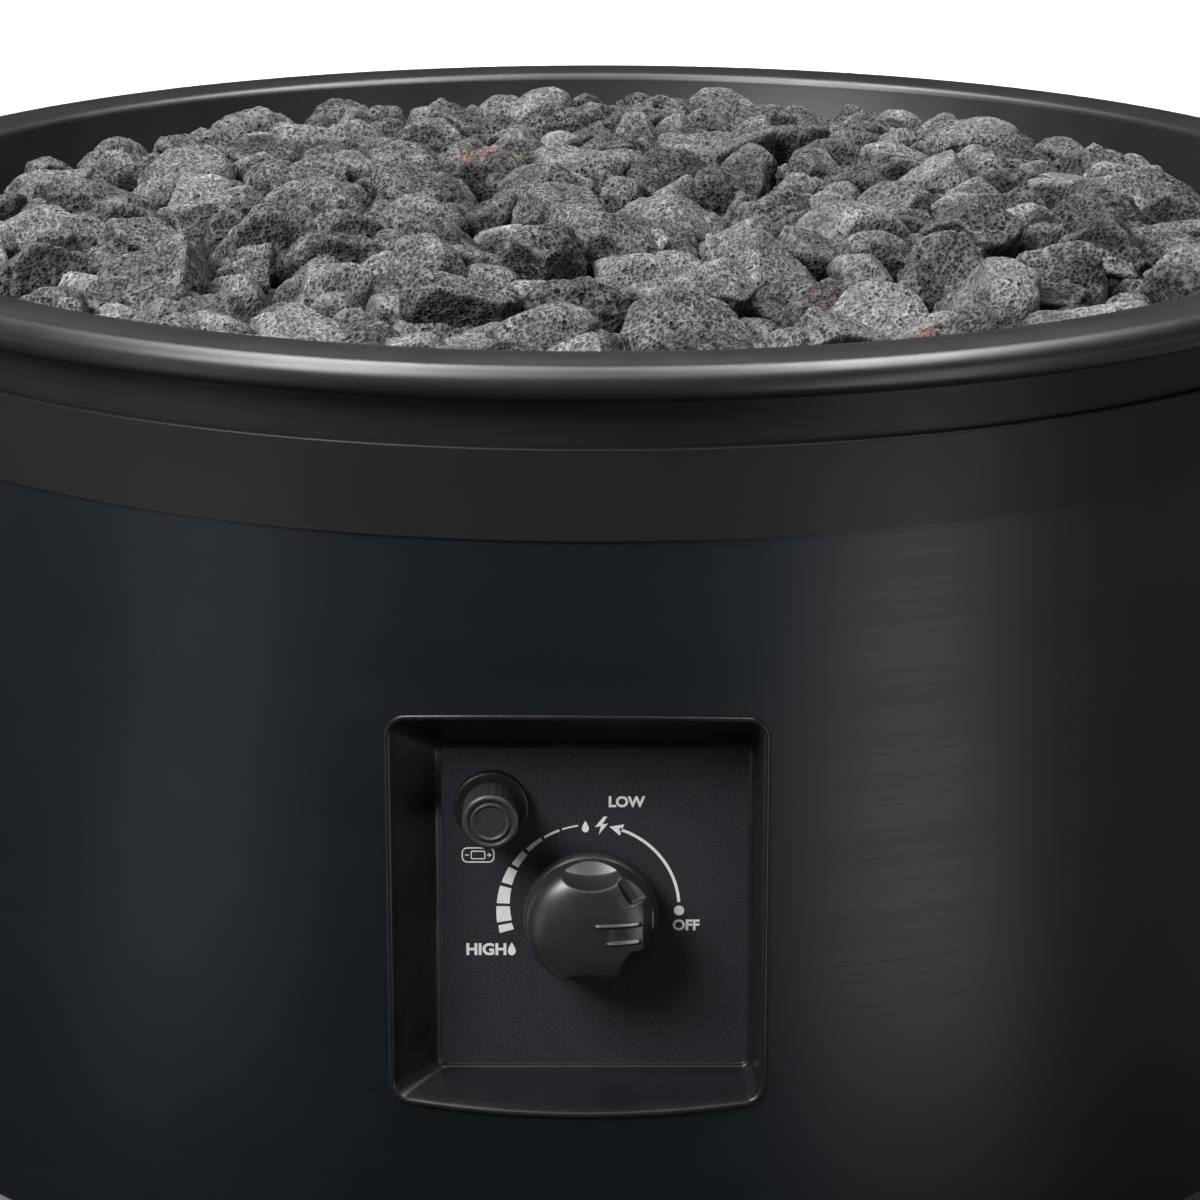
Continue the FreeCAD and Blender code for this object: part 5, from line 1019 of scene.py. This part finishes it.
def rounded_outline(x, z, wide, tall, corner, steps=6):
    points = []
    for turn, (sx, sz) in enumerate(((1, 1), (-1, 1), (-1, -1), (1, -1))):
        for step in range(steps + 1):
            angle = math.pi / 2 * (turn + step / steps)
            points.append((x + sx * (wide / 2 - corner) + corner * math.cos(angle),
                           z + sz * (tall / 2 - corner) + corner * math.sin(angle)))
    return points


def ring_prism(form, outer, inner):
    """A printed line: the band between two outlines of as many points."""
    count = len(outer)
    for index in range(count):
        after = (index + 1) % count
        prism(form, [outer[index], outer[after], inner[after], inner[index]])


def battery_pictogram(form):
    """A battery in a rounded frame, between a minus and a plus."""
    x, z = on_plate(478.5, 852)
    wide, tall, line, corner = 12.6 * MM, 6.2 * MM, 0.45 * MM, 2.2 * MM
    stroke, dash, sign = 0.4 * MM, 1.6 * MM, 4.3 * MM
    ring_prism(form, rounded_outline(x, z, wide, tall, corner),
               rounded_outline(x, z, wide - 2 * line, tall - 2 * line, corner - line))
    ring_prism(form, rounded_outline(x, z, 5.6 * MM, 3.4 * MM, 0.6 * MM),
               rounded_outline(x, z, 4.9 * MM, 2.7 * MM, 0.4 * MM))
    for side in (-1, 1):
        prism(form, rounded_outline(x + side * sign, z, dash, stroke, 0.1 * MM))
    prism(form, rounded_outline(x + sign, z, stroke, dash, 0.1 * MM))


# Scene

def softbox(name, place, aim, size, power, diffuse=True, gloss=True, spread=180):
    """An area light. Without diffuse it is only a highlight, and without gloss it gives none."""
    lamp = bpy.data.lights.new(name, "AREA")
    lamp.shape = "RECTANGLE"
    lamp.size, lamp.size_y = size
    lamp.energy = power
    lamp.spread = math.radians(spread)
    item = bpy.data.objects.new(name, lamp)
    item.location = place
    item.rotation_euler = (Vector(aim) - Vector(place)).to_track_quat("-Z", "Y").to_euler()
    item.visible_camera = False
    item.visible_diffuse, item.visible_glossy = diffuse, gloss
    bpy.context.collection.objects.link(item)


def stage_mesh(name, points, faces, paint):
    mesh = mesh_of(name, points, faces)
    mesh.materials.append(paint.material)
    item = bpy.data.objects.new(name, mesh)
    bpy.context.collection.objects.link(item)
    return item


CIRCLE_STEPS = 48
# Radii of the floor in metres. The haze is a sheet over the far floor that only the camera sees.
NEAR_FLOOR = 2.1
FAR_FLOOR = 21
HAZE = 3.6, 90
HAZE_LIFT = 0.002
HAZE_FADE = 3.8, 6.5


def circle(radius, height=0.0):
    turns = 2 * math.pi * np.arange(CIRCLE_STEPS) / CIRCLE_STEPS
    return [(radius * math.cos(turn), radius * math.sin(turn), height) for turn in turns]


def floors():
    """A pale floor. Its part near the drum casts no light back, as if a dark cloth lay there."""
    steps = CIRCLE_STEPS
    ring = [(steps + k, steps + (k + 1) % steps, (k + 1) % steps, k) for k in range(steps)]
    near = circle(NEAR_FLOOR)
    paint = Painter("pale_floor", (0.70, 0.70, 0.70), 0.9, Specular_IOR_Level=0.0)
    stage_mesh("floor_far", near + circle(FAR_FLOOR), ring, paint)
    item = stage_mesh("floor_near", near, [tuple(range(steps))], paint)
    item.visible_diffuse = item.visible_glossy = False
    start, end = HAZE
    item = stage_mesh("floor_haze", circle(start, HAZE_LIFT) + circle(end, HAZE_LIFT), ring,
                      pale_distance())
    item.visible_diffuse = item.visible_glossy = item.visible_shadow = False


def pale_distance():
    """Fades the far floor to the pale tone of the near one, by the distance from the drum."""
    paint = Painter("pale_distance", (0.70, 0.70, 0.70), 0.9)
    start, end = HAZE_FADE
    away = paint.nodes.new("ShaderNodeVectorMath")
    away.operation = "LENGTH"
    paint.links.new(paint.place, away.inputs[0])
    clear = paint.nodes.new("ShaderNodeBsdfTransparent")
    glow = paint.nodes.new("ShaderNodeEmission")
    glow.inputs["Strength"].default_value = 0.97
    fade = paint.nodes.new("ShaderNodeMixShader")
    paint.links.new(paint.ranged(away.outputs["Value"], 0, 1, start, end), fade.inputs[0])
    paint.links.new(clear.outputs[0], fade.inputs[1])
    paint.links.new(glow.outputs[0], fade.inputs[2])
    paint.links.new(fade.outputs[0], paint.nodes["Material Output"].inputs["Surface"])
    return paint


WORLD_STRENGTH = 0.09
# A dark card behind the drum that only reflections show: half width, distance and height.
CARD = 2.5, 2.2, 0.95


def lamps():
    softbox("key_left", (-1.48, -1.57, 1.95), (0, -0.3, 0.3), (1.1, 1.1), 95)
    softbox("top_soft", (0, 0.6, 3.0), (0, 0.4, 0), (2.6, 1.6), 20)
    softbox("floor_light", (0, 3.5, 2.6), (0, 3.5, 0), (4.0, 2.0), 90, spread=100)

    # These light the floor and the back, and show in no reflection.
    for name, x, y, size, power in (("floor_light_left", -4.4, 0.4, (2.0, 4.5), 70),
                                    ("floor_light_right", 4.4, 0.4, (2.0, 4.5), 70),
                                    ("floor_light_front", 0, -4.8, (5.0, 2.0), 50)):
        softbox(name, (x, y, 2.6), (x, y, 0), size, power, gloss=False, spread=100)
    for name, place, power in (("fill_back_left", (-2.1, 1.9, 1.6), 34),
                               ("fill_back_right", (1.9, 2.2, 1.8), 55)):
        softbox(name, place, (0, 0, 0.25), (1.5, 1.5), power, gloss=False)

    # These show only as the highlights on the rim and the wall.
    for name, place, aim, size, power in (
            ("front_top", (-0.2, -1.65, 2.6), (0, -0.3, 0.3), (2.2, 0.9), 17),
            ("over_left", (-0.88, -0.25, 2.5), (-0.21, -0.44, 0.4), (2.6, 0.5), 120),
            ("over_right", (0.93, -0.25, 2.5), (0.26, -0.44, 0.4), (2.6, 0.5), 120),
            ("low_right", (0.97, -1.07, 0.26), (0, -0.3, 0.25), (0.45, 0.5), 1.8),
            ("low_left", (-1.08, -0.92, 0.26), (0, -0.3, 0.25), (0.4, 0.5), 0.5),
            ("floor_right", (0.70, -0.93, 0.02), (0.4, -0.6, 4.0), (0.34, 0.95), 3.6),
            ("floor_left", (-0.83, -0.77, 0.02), (-0.5, -0.45, 4.0), (0.34, 0.95), 1.1),
            ("floor_edge", (0.95, -0.25, 0.02), (0.5, -0.25, 4.0), (0.7, 0.9), 0.3)):
        softbox(name, place, aim, size, power, diffuse=False)


def studio():
    floors()
    world = bpy.data.worlds.new("studio")
    bpy.context.scene.world = world
    world.use_nodes = True
    back = world.node_tree.nodes["Background"]
    back.inputs["Color"].default_value = (1, 1, 1, 1)
    back.inputs["Strength"].default_value = WORLD_STRENGTH
    bpy.context.scene.view_settings.view_transform = "Standard"
    lamps()
    half, away, height = CARD
    corners = [(-half, away, 0), (half, away, 0), (half, away, height), (-half, away, height)]
    black = Painter("flag_black", (0.02, 0.02, 0.02), 0.9, Specular_IOR_Level=0.0)
    card = stage_mesh("flag_back", corners, [(0, 1, 2, 3)], black)
    card.visible_camera = card.visible_diffuse = card.visible_shadow = False


def camera():
    data = bpy.data.cameras.new("camera")
    data.sensor_width = SENSOR_WIDTH
    data.lens = FOCAL_PIXELS / PHOTO_SIZE * SENSOR_WIDTH
    data.shift_x = AXIS_SHIFT_PIXELS / PHOTO_SIZE
    item = bpy.data.objects.new("camera", data)
    item.location = (0, -VIEW_DISTANCE, RIM_TOP + VIEW_OVER_RIM)
    item.rotation_euler = (math.pi / 2 - VIEW_PITCH, 0, 0)
    bpy.context.collection.objects.link(item)
    bpy.context.scene.camera = item


dress_cad_nodes()
bowl()
lava_stones()
knob()
battery_cap()
return_spring()
recess_tray()
dial_print()
studio()
camera()
